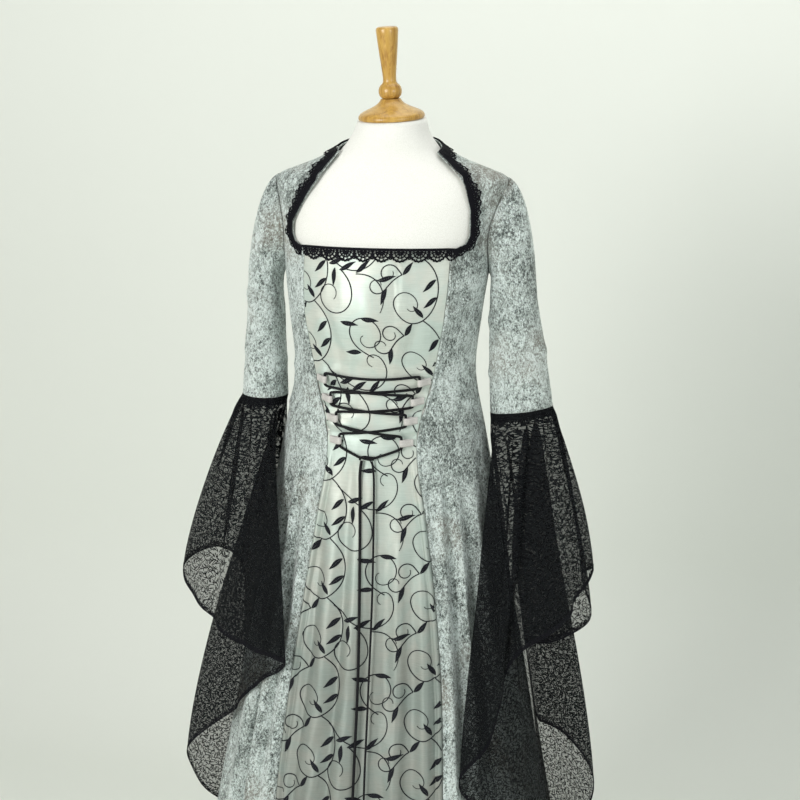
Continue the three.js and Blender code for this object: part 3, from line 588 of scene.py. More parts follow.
net, tree, shader = new_look("sheer_net")
flat_place = add(tree, "ShaderNodeUVMap", {}, uv_map="cut").outputs[0]
cover = NET_VEIL
for shift, scale in DASH_LAYERS:
    size = scale / DASH_CELL
    where = add(tree, "ShaderNodeMapping", {
        "Vector": flat_place, "Location": (shift * 7, shift * 3, 0), "Scale": (size,) * 3}).outputs[0]
    cell = add(tree, "ShaderNodeTexVoronoi", {"Vector": where, "Scale": 1.0, "Randomness": 0.85},
               voronoi_dimensions="2D", feature="F1").outputs
    inside = add(tree, "ShaderNodeVectorMath", {0: where, 1: cell["Position"]}, operation="SUBTRACT")
    angle = maths(tree, "MULTIPLY", apart(tree, cell["Color"])[0], 4 * math.pi)
    turned = add(tree, "ShaderNodeVectorRotate", {"Vector": inside.outputs[0], "Angle": angle},
                 rotation_type="Z_AXIS")
    x, y = apart(tree, turned.outputs[0])[:2]
    bowed = maths(tree, "MULTIPLY_ADD", maths(tree, "MULTIPLY", x, x), DASH_BEND, y)
    long_way = maths(tree, "LESS_THAN", maths(tree, "ABSOLUTE", x), DASH_LONG)
    thin_way = maths(tree, "LESS_THAN", maths(tree, "ABSOLUTE", bowed), DASH_THIN)
    cover = maths(tree, "MAXIMUM", maths(tree, "MULTIPLY", long_way, thin_way), cover)
feed(tree, shader, {"Base Color": (0.006, 0.007, 0.008, 1), "Alpha": cover, "Roughness": 0.9,
                    "Specular IOR Level": 0.1})
print("a dash every", DASH_CELL / MM, "mm in each layer")

# %% [markdown]
# ### Lace thread, lacing cord, ribbon, jersey, wood and metal
#
# The trims are worked in matt black cotton and the lacing is a satin cord. The loops are pale
# ribbon. The form is covered in cream jersey, and its cap and finial are turned beech under a
# satin varnish, with long fine grain that runs up the turning.

# %% Small finishes


def plain_look(name, colour, roughness, grain, depth, gloss=0.5, sheen=0.0):
    look, tree, shader = new_look(name)
    fine = cloud(tree, object_place(tree), grain, 3, 0.6)
    dark = tuple(0.75 * c for c in colour)
    light = tuple(min(1, 1.1 * c) for c in colour)
    feed(tree, shader, {
        "Base Color": ramp(tree, fine, [(0.3, dark), (0.7, light)]), "Roughness": roughness,
        "Specular IOR Level": gloss, "Sheen Weight": sheen, "Normal": bump(tree, fine, depth, 0.6)})
    return look


lace_thread = plain_look("lace_thread", (0.005, 0.005, 0.008), 0.8, 1800, 0.0006, 0.15)
cord_satin = plain_look("lacing_cord", (0.005, 0.005, 0.007), 0.55, 1400, 0.0005, 0.2)
ribbon_satin = plain_look("loop_ribbon", (0.62, 0.60, 0.575), 0.42, 900, 0.0003, 0.5)
jersey = plain_look("jersey", (0.95, 0.945, 0.875), 0.85, 1500, 0.0003, 0.3, 0.15)
metal = plain_look("stand_paint", (0.72, 0.70, 0.66), 0.35, 300, 0.0001)

WOOD_DARK = (0.34, 0.16, 0.025)
WOOD_MIDDLE = (0.54, 0.31, 0.062)
WOOD_LIGHT = (0.66, 0.41, 0.10)
wood, tree, shader = new_look("turned_beech")
where = object_place(tree, (1, 1, 0.09))
grain = cloud(tree, where, 210, 5, 0.65, 0.8)
grained = weigh(tree, [(grain, 0.55), (cloud(tree, where, 45, 3, 0.5, 1.4), 0.45)])
feed(tree, shader, {
    "Base Color": ramp(tree, grained, [(0.36, WOOD_DARK), (0.5, WOOD_MIDDLE), (0.64, WOOD_LIGHT)]),
    "Roughness": 0.36, "Coat Weight": 0.3, "Coat Roughness": 0.2,
    "Normal": bump(tree, grain, 0.0003, 0.4)})
print("finishes:", len(bpy.data.materials))

# %% [markdown]
# ## The front panel
#
# The panel is one piece of taffeta, narrow at the waist. Below the lacing a soft roll of cloth, a
# tuck, runs down beside each edge. Between the ribbon loops the seam gapes a little, because the
# lacing pulls only at the loops. The grid's s runs from edge to edge and its t from hem to neck.

# %% Front panel
SEAM = 0.3
TUCK_RISE = 4.6
TUCK_WIDTH = 10.5
TUCK_FOOT = 1.4  # depth of the crease at the tuck's inner side
TUCK_TOP = 1000
GAPE_DEPTH = 2.6
PANEL_TOP = 1300.5


def seam_turn(height):
    return SEAM / 2 / BODY(height, "half")


def panel_edge(height):
    return turn_at(PANEL(height, "half"), height) - seam_turn(height)


def gape(height):
    """How far the seam gapes: 0 at each loop and beyond them, 1 midway between two loops."""
    place = np.interp(height, LOOP_HEIGHTS[::-1], range(len(LOOP_HEIGHTS)))
    return np.sin(np.pi * place) ** 2


def tuck_at(turn, height):
    """How far the tuck and the gaping seam lift or sink the panel's cloth."""
    inward = (panel_edge(height) - abs(turn)) * BODY(height, "half")
    grown = smooth(TUCK_TOP - height, 0, 90)
    share = np.clip(inward / TUCK_WIDTH, 0, 1)
    lift = TUCK_RISE * grown * np.sin(np.pi * share) ** 0.6
    lift = lift - TUCK_FOOT * grown * np.exp(-((inward - TUCK_WIDTH - 1) / 2.4) ** 2)
    return lift - GAPE_DEPTH * gape(height) * np.exp(-(inward / 5) ** 2)


def on_panel(turn, height, out):
    return lie(turn, height, out + tuck_at(turn, height))


def panel_share(s):
    """Grid columns crowd towards the edges, where the cloth bends most."""
    x = 2 * s - 1
    return 0.42 * x + 0.58 * np.sin(x * math.pi / 2)


def panel_place(s, t):
    height = lerp(HEM_HEIGHT, PANEL_TOP, t)
    return on_panel(panel_share(s) * panel_edge(height), height, 0)


panel = cloth_piece("front_panel", taffeta, 100, 250, panel_place)

# %% [markdown]
# ## The velvet body
#
# Two side fronts run from the panel's seams round to the side seams and up over the bust to the
# shoulders, and two backs meet at the centre back. Above the underarm each one is bounded by the
# neck's edge, the armhole and the shoulder seam. Beside the panel the velvet is turned under, so
# its edge is a soft round ridge.

# %% Side fronts and backs
UPPER = 0.24  # share of the grid's rows above the underarm
EDGE_ROLL = 2.3
EDGE_ROLL_PLACE = 3.5
GAPE_WIDTH = 1.8


def neck_edge(side, height):
    return side * turn_at(NECK_EDGE(height, "left" if side < 0 else "right"), height)


def armhole(share, before):
    """The armhole from the underarm to the shoulder, in front (1) or behind (-1)."""
    widest = np.where(np.asarray(before) > 0, math.radians(17), math.radians(27))
    opening = widest * np.maximum(np.sin(np.pi * share), 0) ** 0.8
    return np.pi / 2 - before * opening, lerp(UNDERARM, ARMHOLE_TOP, share)


def upper_share(t):
    return np.clip((t - 1 + UPPER) / UPPER, 0, 1)


def front_place(side, s, t):
    low, share = t < 1 - UPPER, upper_share(t)
    below = lerp(HEM_HEIGHT, UNDERARM, t / (1 - UPPER))
    height = np.where(low, below, lerp(UNDERARM, NECK_TOP, share ** 0.8))
    radius = BODY(height, "half")
    seam = panel_edge(height) + 2 * seam_turn(height) + GAPE_WIDTH * gape(height) / radius
    top = smooth(height, NECK_EDGE_TOP, NECK_TOP)
    neck = lerp(neck_edge(side, np.minimum(height, NECK_EDGE_TOP)), side * (np.pi / 2 - 0.004), top)
    inner = np.where(height < PANEL_TOP, side * seam, neck)
    hole_turn, rise = armhole(share, 1)
    outer = side * np.where(low, np.pi / 2 - seam_turn(height), hole_turn - 0.002)
    s = s ** 1.6  # grid columns crowd towards the panel's seam
    turn = lerp(inner, outer, s)
    edge = EDGE_ROLL * np.exp(-((abs(turn - inner) * radius - EDGE_ROLL_PLACE) / 2.8) ** 2)
    return lie(turn, lerp(height, np.where(low, height, rise), s), edge * (height < PANEL_TOP))


def back_place(side, s, t):
    low, share = t < 1 - UPPER, upper_share(t)
    height = lerp(HEM_HEIGHT, UNDERARM, np.minimum(t / (1 - UPPER), 1))
    gap = seam_turn(height)
    plain = lerp(np.pi - gap, np.pi / 2 + gap, s)
    neck_share = 0.36
    q = np.clip(s / neck_share, 0, 1)
    past = np.clip((s - neck_share) / (1 - neck_share), 0, 1)
    top_turn = lerp(np.pi - 0.003, np.pi / 2 + 0.006, q)
    top_height = lerp(lerp(BACK_NECK, NECK_TOP, q * q), ARMHOLE_TOP, past)
    rise = 1 - (1 - share) ** 1.5
    hole_turn, hole_height = armhole(rise, -1)
    turn = lerp(plain, top_turn, rise ** 3) + (hole_turn - np.pi / 2) * s ** 3
    above = lerp(UNDERARM, top_height, rise) + (hole_height - lerp(UNDERARM, ARMHOLE_TOP, rise)) * s
    return lie(side * np.where(low, plain, turn), np.where(low, height, above), 0)


velvet_pieces = {}
for kind, columns, rows, place in (("side_front", 72, 210, front_place), ("back", 76, 200, back_place)):
    for word, side in SIDES.items():
        node = f"{kind}_{word}"
        velvet_pieces[node] = cloth_piece(node, velvet, columns, rows, lambda s, t: place(side, s, t))

# %% [markdown]
# ## The upper sleeves
#
# A fitted sleeve leaves the armhole almost level and turns down over the shoulder. Each of its
# threads is one curve from a point of the armhole to a point of the elbow. Drag lines pull from
# the underarm, and short wrinkles lie across the inside of the elbow.

# %% Upper sleeves
SLEEVE = {
    "left": Table("height across deep wide thick", [
        (1222, -196, 3, 27, 40), (1150, -197, 3, 31, 41), (1049, -199.5, 2, 36.5, 44)]),
    "right": Table("height across deep wide thick", [
        (1222, 204, 2, 36, 36), (1150, 210, 2, 43, 37), (1041, 219.5, 1, 49.5, 38)]),
}
CUFF_SLANT = {"left": -0.04, "right": 0.14}
SLEEVE_TOP = 1222
SHOULDER_SHARE = 5 / 8  # share of a sleeve's rows that lie above its first ring
# A wrinkle crosses a turn in degrees at a height, and climbs by its slant for each radian.
Wrinkle = namedtuple("Wrinkle", "height turn slant wide rise")
WRINKLES = [Wrinkle(*row) for row in [
    (1176, 150, 16, 9, 2.6), (1148, 130, 20, 8, -2.4), (1112, 60, -18, 9, 2.6),
    (1092, 150, 14, 8, 2.6), (1074, 110, 12, 8, -2.4), (1206, 40, -24, 10, 2.4),
    (1240, 70, 26, 11, 2.4), (1130, 330, 16, 10, 2.4), (1082, 290, -14, 9, 2.4),
    (1190, 250, 20, 10, 2.4), (1290, 80, 34, 12, 2.2), (1160, 70, 60, 9, -2.2),
    (1215, 100, 70, 10, 2.0),
]]


def cuff_row(word):
    """The sleeve table's lowest row: height, across, deep, wide and thick."""
    return SLEEVE[word].rows[0]


def sleeve_ring(word, turn, height):
    """A point round the sleeve, 0 on its outside and 90 degrees in front."""
    table = SLEEVE[word]
    turn, height = np.broadcast_arrays(turn, height)
    x = table(height, "across") + SIDES[word] * table(height, "wide") * np.cos(turn)
    return spots_of(x, table(height, "deep") - table(height, "thick") * np.sin(turn), height)


def cuff_point(word, turn):
    height, across = cuff_row(word)[:2]
    p = sleeve_ring(word, turn, height)
    p[..., 2] += CUFF_SLANT[word] * (p[..., 0] - across)
    return p


def sleeve_crease(turn, height, word):
    """Drag lines and elbow wrinkles, as a distance out from the sleeve."""
    lift = 0
    for wrinkle in WRINKLES:
        apart = turned_from(turn, math.radians(wrinkle.turn))
        away = (height - wrinkle.height - wrinkle.slant * apart) / wrinkle.wide
        lift = lift + wrinkle.rise * np.exp(-away * away - (apart / 0.9) ** 2)
    cuff = cuff_row(word)[0]
    return lift * smooth(height, cuff + 4, cuff + 30)


def sleeve_place(word, s, t):
    side, cuff = SIDES[word], cuff_row(word)[0]
    turn = 2 * np.pi * s
    upper = (1 + np.cos(turn)) / 2
    hole_turn, height = armhole(upper, np.where(np.sin(turn) >= 0, 1, -1))
    start = skin(side * hole_turn, height) + np.array([side * 0.9, 0, 0])
    end = sleeve_ring(word, turn, SLEEVE_TOP)
    leave = start + spots_of(side * lerp(5, 26, upper), 0, -4)
    arrive = end + spots_of(0, 0, 0.45 * (start[..., 2] - end[..., 2]))
    q = np.clip(t / SHOULDER_SHARE, 0, 1)[..., None]
    over = (1 - q) ** 3 * start + 3 * q * (1 - q) ** 2 * leave
    over = over + 3 * q * q * (1 - q) * arrive + q ** 3 * end
    share = np.clip((t - SHOULDER_SHARE) / (1 - SHOULDER_SHARE), 0, 1)
    down = sleeve_ring(word, turn, lerp(SLEEVE_TOP, cuff, share))
    down[..., 2] += (cuff_point(word, turn)[..., 2] + SEAM - cuff) * share
    p = np.where((t <= SHOULDER_SHARE)[..., None], over, down)
    lift = sleeve_crease(turn, p[..., 2], word) * smooth(t, 0.0, 0.25)
    return p + spots_of(side * np.cos(turn), -np.sin(turn), 0) * lift[..., None]


for word in SIDES:
    velvet_pieces[f"sleeve_{word}"] = cloth_piece(
        f"sleeve_{word}", velvet, 72, 96, lambda s, t: sleeve_place(word, s, t), cuff_row(word)[1:3])

# %% [markdown]
# ## The bells
#
# Each bell is cut almost as a full circle, so its hem is many times as long as its cuff and drops
# in cascades. The hem is a closed curve through a few given places, and each thread of the bell
# falls from the cuff to the hem, first outwards and then down. Threads that would pass through the
# skirt are pushed clear of it. Gathers at the cuff and soft ripples below, no two alike, run down
# the threads.

# %% Bell hems
# A row says which turn round the cuff, in degrees, a thread leaves from, where it meets the hem
# (across, deep and height), and how far it keeps clear of the skirt.
HEM_TURN, HEM_SPOT, HEM_CLEAR = 0, slice(1, 4), 4
BELL_HEM = {
    "left": np.array([
        (0, -333, -36, 752, 16), (38, -277, -84, 690, 16), (78, -208, -116, 655, 16),
        (113, -138, -146, 646, 13), (117, -130, -150, 645, 13),
        (148, -236, -74, 532, 9), (174, -342, -26, 424, 9),
        (198, -296, 10, 330, 9), (226, -262, 140, 262, 9), (258, -288, 128, 420, 16),
        (290, -270, 88, 600, 16), (320, -266, 48, 752, 16), (342, -308, 16, 778, 16)], float),
    "right": np.array([
        (0, 337, -22, 792, 16), (22, 322, -58, 748, 16), (42, 297, -84, 714, 16),
        (62, 228, -116, 664, 16), (84, 212, -132, 596, 16), (104, 197, -150, 536, 16),
        (126, 152, -168, 470, 12), (152, 224, -116, 396, 6), (180, 268, -40, 310, 6),
        (216, 256, 108, 262, 6), (244, 316, 66, 312, 16), (264, 344, 36, 410, 16),
        (281, 298, 24, 488, 16), (297, 214, 10, 542, 16), (313, 182, -5, 640, 16),
        (328, 287, -8, 664, 16), (342, 336, 12, 700, 16), (352, 325, -10, 778, 16)], float),
}
Wave = namedtuple("Wave", "count phase size")
RIPPLES = {"left": [Wave(7, 0.4, 6.0), Wave(12, 2.1, 4.5), Wave(19, 4.0, 2.4)],
           "right": [Wave(8, 1.3, 6.0), Wave(13, 0.2, 4.5), Wave(21, 2.8, 2.4)]}
GATHERS = [Wave(17, 0.7, 2.6), Wave(29, 2.2, 1.6)]
Pleat = namedtuple("Pleat", "turn width reach")  # degrees, degrees and share of the way down
PLEATS = {
    "left": [Pleat(18, 7, 0.7), Pleat(49, 9, 0.85), Pleat(76, 6, 0.5), Pleat(142, 8, 0.6),
             Pleat(205, 9, 0.7), Pleat(262, 7, 0.6), Pleat(318, 9, 0.75)],
    "right": [Pleat(14, 8, 0.7), Pleat(40, 6, 0.5), Pleat(70, 13, 0.95), Pleat(100, 8, 0.8),
              Pleat(156, 9, 0.6), Pleat(222, 8, 0.7), Pleat(290, 9, 0.6)],
}
PLEAT_FOLD = 2.1  # over 1, a pleat folds back over itself
PLEAT_DEPTH = 5
CLEAR_HEIGHT = 1000  # the skirt is only in a bell's way below this height
BELL_SPREAD = 1.35  # over 1, the net first runs outwards and then down
SLIDE_GROWTH = 0.8  # how much further a pleat slides at the hem than at the cuff


def closed_curve(points, place):
    """A centripetal Catmull-Rom curve through closed points, place from 0 to 1."""
    count = len(points)
    along = (place % 1) * count
    k = along.astype(int)
    p = [points[(k + i) % count] for i in (-1, 0, 1, 2)]
    gap = [size_of(p[i + 1] - p[i])[..., None] ** 0.5 for i in range(3)]
    into = (p[1] - p[0]) / gap[0] - (p[2] - p[0]) / (gap[0] + gap[1]) + (p[2] - p[1]) / gap[1]
    away = (p[2] - p[1]) / gap[1] - (p[3] - p[1]) / (gap[1] + gap[2]) + (p[3] - p[2]) / gap[2]
    into, away = into * gap[1], away * gap[1]
    t = (along - k)[..., None]
    square = (-3 * p[1] + 3 * p[2] - 2 * into - away) * t ** 2
    cube = (2 * p[1] - 2 * p[2] + into + away) * t ** 3
    return p[1] + into * t + square + cube


def clear_of_skirt(p, gap):
    """Moves points out from the skirt's centre until they clear the skirt."""
    x, y, z = p[..., 0], p[..., 1], p[..., 2]
    shift = BODY(z, "shift")
    depth = np.where(y < 0, BODY(z, "front"), BODY(z, "back"))
    turn = np.arctan2((x - shift) / BODY(z, "half"), -y / depth)
    centre = spots_of(shift, 0, z)
    need = size_of(skin(turn, z) - centre) + gap
    away = p - centre
    size = size_of(away)
    blocked = (size < need) & (z <= CLEAR_HEIGHT)
    return np.where(blocked[..., None], centre + away * (need / size)[..., None], p)


def waves(kinds, turn):
    return sum(wave.size * np.sin(wave.count * turn + wave.phase) for wave in kinds)


def pleat_shift(word, turn, t):
    """How far pleats slide the net sideways, in radians, and outwards, in millimetres."""
    slide, out = 0, 0
    for pleat in PLEATS[word]:
        width = math.radians(pleat.width)
        away = turned_from(turn, math.radians(pleat.turn)) / width
        fade = smooth(t, 0.01, 0.1) * (1 - smooth(t, 0.35 * pleat.reach, pleat.reach))
        push = away * np.exp(-away * away / 2) * fade
        slide = slide - PLEAT_FOLD * width * push
        out = out + PLEAT_DEPTH * push
    return slide, out


def bell_place(word, s, t):
    """A point of a bell, s round it from the outside by way of the front, and t down it."""
    s, t = np.broadcast_arrays(s, t)
    table = BELL_HEM[word]
    count = len(table)
    along = (s % 1) * count
    k = along.astype(int)
    after = (k + 1) % count
    next_turn = np.where(after == 0, 360, table[after, HEM_TURN])
    turn = np.radians(lerp(table[k, HEM_TURN], next_turn, along - k))
    clear = lerp(table[k, HEM_CLEAR], table[after, HEM_CLEAR], along - k)
    end = closed_curve(table[:, HEM_SPOT], s)
    start = cuff_point(word, turn)
    spread = 1 - (1 - t) ** BELL_SPREAD
    x, y = (lerp(start[..., i], end[..., i], spread) for i in (0, 1))
    lift = waves(RIPPLES[word], turn) * smooth(t, 0.02, 0.6) * (1 - 0.45 * t)
    lift = lift + waves(GATHERS, turn) * smooth(t, 0.0, 0.06) * (1 - smooth(t, 0.2, 0.6))
    slide, out = pleat_shift(word, turn, t)
    slid = (cuff_point(word, turn + slide) - start) * (1 + SLIDE_GROWTH * t)[..., None]
    x, y = x + SIDES[word] * np.cos(turn) * (lift + out), y - np.sin(turn) * (lift + out)
    x, y = x + slid[..., 0], y + slid[..., 1]
    return clear_of_skirt(spots_of(x, y, lerp(start[..., 2], end[..., 2], t)), clear)


# %% Bell cloth
BELL_COLUMNS = 300
BELL_ROWS = 60
CUFF_REACH = 50  # from the middle of the flat circle to its cuff edge


def bell_cut(word):
    """Flat places for a bell: a sector whose radius runs down the threads."""
    s, t = np.meshgrid(np.linspace(0, 1, BELL_COLUMNS + 1), np.linspace(0, 1, BELL_ROWS + 1))
    spots = bell_place(word, s, t)
    steps = size_of(np.diff(spots, axis=0))
    reach = CUFF_REACH + np.vstack([0 * steps[:1], np.cumsum(steps, axis=0)])
    hem = size_of(np.diff(spots[-1], axis=0))
    sideways = np.sqrt(np.maximum(hem ** 2 - np.diff(reach[-1]) ** 2, (0.3 * hem) ** 2))
    angle = running(sideways / reach[-1, 1:])

    def cut(s, t):
        i, j = np.rint(s * BELL_COLUMNS).astype(int), np.rint(t * BELL_ROWS).astype(int)
        return reach[j, i] * np.cos(angle[i]), reach[j, i] * np.sin(angle[i])

    return cut, hem.sum()


bells = {}
for word in SIDES:
    cut, hem_length = bell_cut(word)
    bm = grid_shape(BELL_COLUMNS, BELL_ROWS, lambda s, t: bell_place(word, s, t), cut)
    bmesh.ops.remove_doubles(bm, verts=bm.verts, dist=WELD)
    face_out(bm, cuff_row(word)[1:3])
    bells[word] = piece_from(f"bell_{word}_net", bm, net)
    print(f"bell {word}: hem {hem_length / 1000:.2f} m, area {area_of(bells[word]):.3f} square metres")

# %% [markdown]
# ## The flocked vine
#
# The print is a plain scrolling vine. At the sides a stem swings out and back in bows, and the end
# of each bow curls up into an open spiral. In the middle, sprays of leaves alternate with round
# spirals. A stroke is drawn the way a hand would draw it: it starts at a place with a heading, and
# bends more or less as it goes on. A leaf is two slim blades with a fine gap between them as its
# rib. Below, x runs across the panel from its middle and y up it.

# %% Drawing a vine
STEM = 0.85  # half the width of a stem
RIB = 0.11  # half the width of a leaf's rib
LEAF_HALF = 3.5


def curl(x, y, heading, *parts):
    """A line of points. Each part is (length, bend at its start, bend at its end), in degrees to
    the left per millimetre."""
    points = [(x, y)]
    for length, bend_now, bend_then in parts:
        count = max(round(length / 2.2), 2)
        for k in range(count):
            heading += lerp(bend_now, bend_then, (k + 0.5) / count) * length / count
            x += math.cos(math.radians(heading)) * length / count
            y += math.sin(math.radians(heading)) * length / count
            points.append((x, y))
    return points


def stem(bm, *line):
    points = curl(*line)
    taper = STEM * (1 - 0.45 * np.linspace(0, 1, len(points)) ** 4)
    strip(bm, points, -taper, taper)


def leaf(bm, x, y, heading, length):
    points = curl(x, y, heading - 14, (length / 2, 1.5, 1.5), (length / 2, -0.6, -1.2))
    s = np.linspace(0, 1, len(points))
    edge = 0.25 + LEAF_HALF * np.sin(np.pi * s ** 0.82) ** 1.1
    rib = RIB * (1 - s)
    strip(bm, points, rib, edge)
    strip(bm, points, -edge, -rib)


def bow_unit(bm):
    """One bow of a side stem, 93 mm tall, which ends in an open spiral."""
    stem(bm, 0, 0, -33, (110, -1.034, -1.034), (30, -2.2, -2.4), (28, -1.5, -1.5), (36, -3.4, -3.4),
         (20, -2.6, -2.6), (26, -4.5, -8))
    leaf(bm, 20, -30, 224, 27)
    leaf(bm, 23, -57, 217, 27)
    leaf(bm, 0, -88, 130, 24)
    stem(bm, -33, -22, 125, (14, 0.4, 0.8), (64, 3.4, 7.2))
    stem(bm, -33, -22, 205, (20, 1.0, 1.2), (14, 0.6, 0.6), (58, -3.4, -7.5))
    leaf(bm, -32, -22, 55, 24)
    leaf(bm, -55, -42, 252, 27)


def spray_unit(bm):
    """A spray of leaves with two large spirals and a hook, at the middle of the panel."""
    stem(bm, -54, 38, -44, (46, 0.2, 0.5), (16, 0.9, 1.2), (78, 1.4, 1.8), (44, 3.4, 6.5))
    stem(bm, -16, 5, -38, (42, -0.9, -1.4), (92, -1.9, -2.3), (52, -3.4, -5))
    stem(bm, 8, 0, 4, (26, -0.7, -1.5), (62, -1.7, -1.4))
    leaf(bm, -38, 14, 20, 27)
    leaf(bm, -19, 5, 28, 29)
    leaf(bm, 8, 2, 44, 28)
    leaf(bm, -27, 8, -93, 28)
    leaf(bm, 42, -9, 14, 29)


def ring_unit(bm):
    """A round spiral that carries two leaves, with a leaf at its foot."""
    stem(bm, 22, -42, 156, (22, -0.5, -0.8), (28, -1.5, -1.9), (112, -2.2, -2.6), (28, -4.2, -7))
    leaf(bm, -22, 13, -9, 29)
    leaf(bm, 12, 20, -8, 28)
    leaf(bm, 4, -35, 182, 25)


REPEAT = 93  # one bow's height, and half the way from one spray or round spiral to the next
bm = bmesh.new()
for unit_drawn, x, y, drop in ((bow_unit, -62, 1310, REPEAT), (bow_unit, 114, 1284, REPEAT),
                               (spray_unit, 2, 1262, 2 * REPEAT), (ring_unit, 6, 1362, 2 * REPEAT)):
    rows = math.ceil((y - HEM_HEIGHT) / drop)
    repeat(bm, unit_drawn, (x, y), (0, -drop), rows + 1)
print("flock strips have", len(bm.faces), "faces")

# %% [markdown]
# On the panel, a distance across the flat print becomes a turn round the body. What would lie
# beyond a seam is cut off there.

# %% Lay the vine on the panel
FLOCK_LIFT = 0.3
FLOCK_THICKNESS = 0.25
PRINT_DRIFT = 34  # how far the print lies to the left at the bust
DRIFT_HEIGHTS = (960, 1250)  # where that drift begins and is full


def flat_turn(x, height):
    """The turn at a distance over the cloth from the centre front."""
    share = np.linspace(0, 1, 9)[:, None]
    half, depth = BODY(height, "half"), BODY(height, "front")
    turn = np.arcsin(np.clip(abs(x) / half, 0, 0.98))
    for _ in range(4):
        speed = np.hypot(half * np.cos(turn * share), depth * np.sin(turn * share))
        turn = abs(x) / speed.mean(axis=0)
    return np.copysign(turn, x)


def print_turn(x, height):
    """The turn of a place of the print, which lies further left above the waist."""
    return flat_turn(x - PRINT_DRIFT * smooth(height, *DRIFT_HEIGHTS), height)


def vine_place(x, height, out):
    height = np.clip(height, HEM_HEIGHT, PANEL_TOP)
    edge = panel_edge(height)
    turn = np.clip(print_turn(x, height), -edge, edge)
    return on_panel(turn, height, FLOCK_LIFT + out)


flat = np.array([vert.co for vert in bm.verts]).T
height = np.clip(flat[1], HEM_HEIGHT, PANEL_TOP)
beyond = (abs(print_turn(flat[0], height)) > panel_edge(height)) | (height != flat[1])
outside = [vert for vert, gone in zip(bm.verts, beyond) if gone]
bmesh.ops.delete(bm, geom=outside, context="VERTS")
loose = [vert for vert in bm.verts if not vert.link_faces]
bmesh.ops.delete(bm, geom=loose, context="VERTS")
bend(bm, vine_place)
vine = thicken(piece_from("flocked_vine", bm, flock), FLOCK_THICKNESS, 1)
print("flock faces on the panel:", len(vine.data.polygons))

# %% [markdown]
# ## Lace trims
#
# The neck is edged with a scalloped lace: a firm heading along the cloth's edge, and below it a row
# of fans, each made of arcs and spokes of thread with a little loop between one fan and the next.
# The same lace, gathered tighter, runs up over the shoulders and round the elbows, and a narrow
# looped braid edges the bells.

# %% Drawing lace
HEADING = 4.2  # breadth of the firm edge that the fans hang from
TRIM_WIDTH = 21


def arc(bm, x, y, across, up, half, steps, level, bumps=0.0):
    angle = np.linspace(0, np.pi, steps + 1)
    swell = 1 + bumps * np.sin(9 * angle) ** 2
    points = np.stack([x - across * swell * np.cos(angle), y + up * swell * np.sin(angle)], -1)
    strip(bm, points, -half, half, level)


def spoke(bm, x, y, angle, low, high, half, level):
    ahead = np.array([math.cos(math.radians(angle)), math.sin(math.radians(angle))])
    strip(bm, [np.array([x, y]) + ahead * low, np.array([x, y]) + ahead * high], -half, half, level)


def open_fan(bm, pitch, height):
    """One scallop of the flat lace, hanging across the trim from its heading."""
    x, rise = pitch / 2, height - HEADING
    arc(bm, x, HEADING, 0.47 * pitch, 0.90 * rise, 1.5, 18, 0.0, 0.09)
    arc(bm, x, HEADING, 0.31 * pitch, 0.62 * rise, 1.0, 10, 0.1)
    arc(bm, x, HEADING, 0.15 * pitch, 0.34 * rise, 1.4, 6, 0.0)
    for angle in (20, 48, 76, 104, 132, 160):
        spoke(bm, x, HEADING, angle, 1.0, 0.93 * min(rise, pitch / 2) + 1, 0.75, 0.05)
    spoke(bm, 0, 0, 90, HEADING - 1, 0.70 * height, 1.8, 0.0)
    arc(bm, 0, 0.60 * height, 2.8, 3.8, 1.0, 5, 0.1)


def tight_fan(bm, pitch, height, level):
    """One scallop of the gathered lace: smaller, denser and ragged."""
    x, rise = pitch / 2, height - HEADING
    arc(bm, x, HEADING, 0.56 * pitch, 0.92 * rise, 1.0, 8, level, 0.10)
    arc(bm, x, HEADING, 0.34 * pitch, 0.60 * rise, 1.1, 6, level + 0.2)
    for angle in (24, 57, 90, 123, 156):
        spoke(bm, x, HEADING, angle, 0.5, 0.62 * rise + 0.16 * pitch, 0.8, level + 0.1)
    spoke(bm, x, HEADING, 90, 0.85 * rise, 1.12 * rise, 0.8, level)
    spoke(bm, 0, 0, 90, HEADING - 1, 0.75 * height, 1.2, level)


def band(bm, length, low, high, step, level, wave=0.0):
    """A firm band that runs the whole length of a trim, its edges a little uneven."""
    x = np.linspace(0, length, int(length / step))
    line = np.stack([x, 0 * x], -1)
    strip(bm, line, low + wave * np.sin(x / 2.3), high + wave * np.sin(x / 3.1), level)


def tight_rows(bm, first, pitch, count, rows):
    """Rows of tight fans along a trim. A row is (shift, height, level), the shift in fans."""
    for shift, height, level in rows:
        start = (first + shift * pitch, 0)
        repeat(bm, lambda bm: tight_fan(bm, pitch, height, level), start, (pitch, 0), count)


def lace_piece(name, bm, place, thickness):
    """Bends a drawing onto its piece and makes it lace."""
    bend(bm, place)
    return thicken(piece_from(f"{name}_lace", bm, lace_thread), thickness, 0)


print("a fan rises", TRIM_WIDTH - HEADING, "mm from its heading")

# %% Neck trim
TRIM_LIFT = 1.8
FRONT_FANS = 8
TIGHT_PITCH = 13.5
NECK_FRONT = 110  # half the straight front of the neckline
FRONT_STEPS = 12  # steps of the neck's path along that front


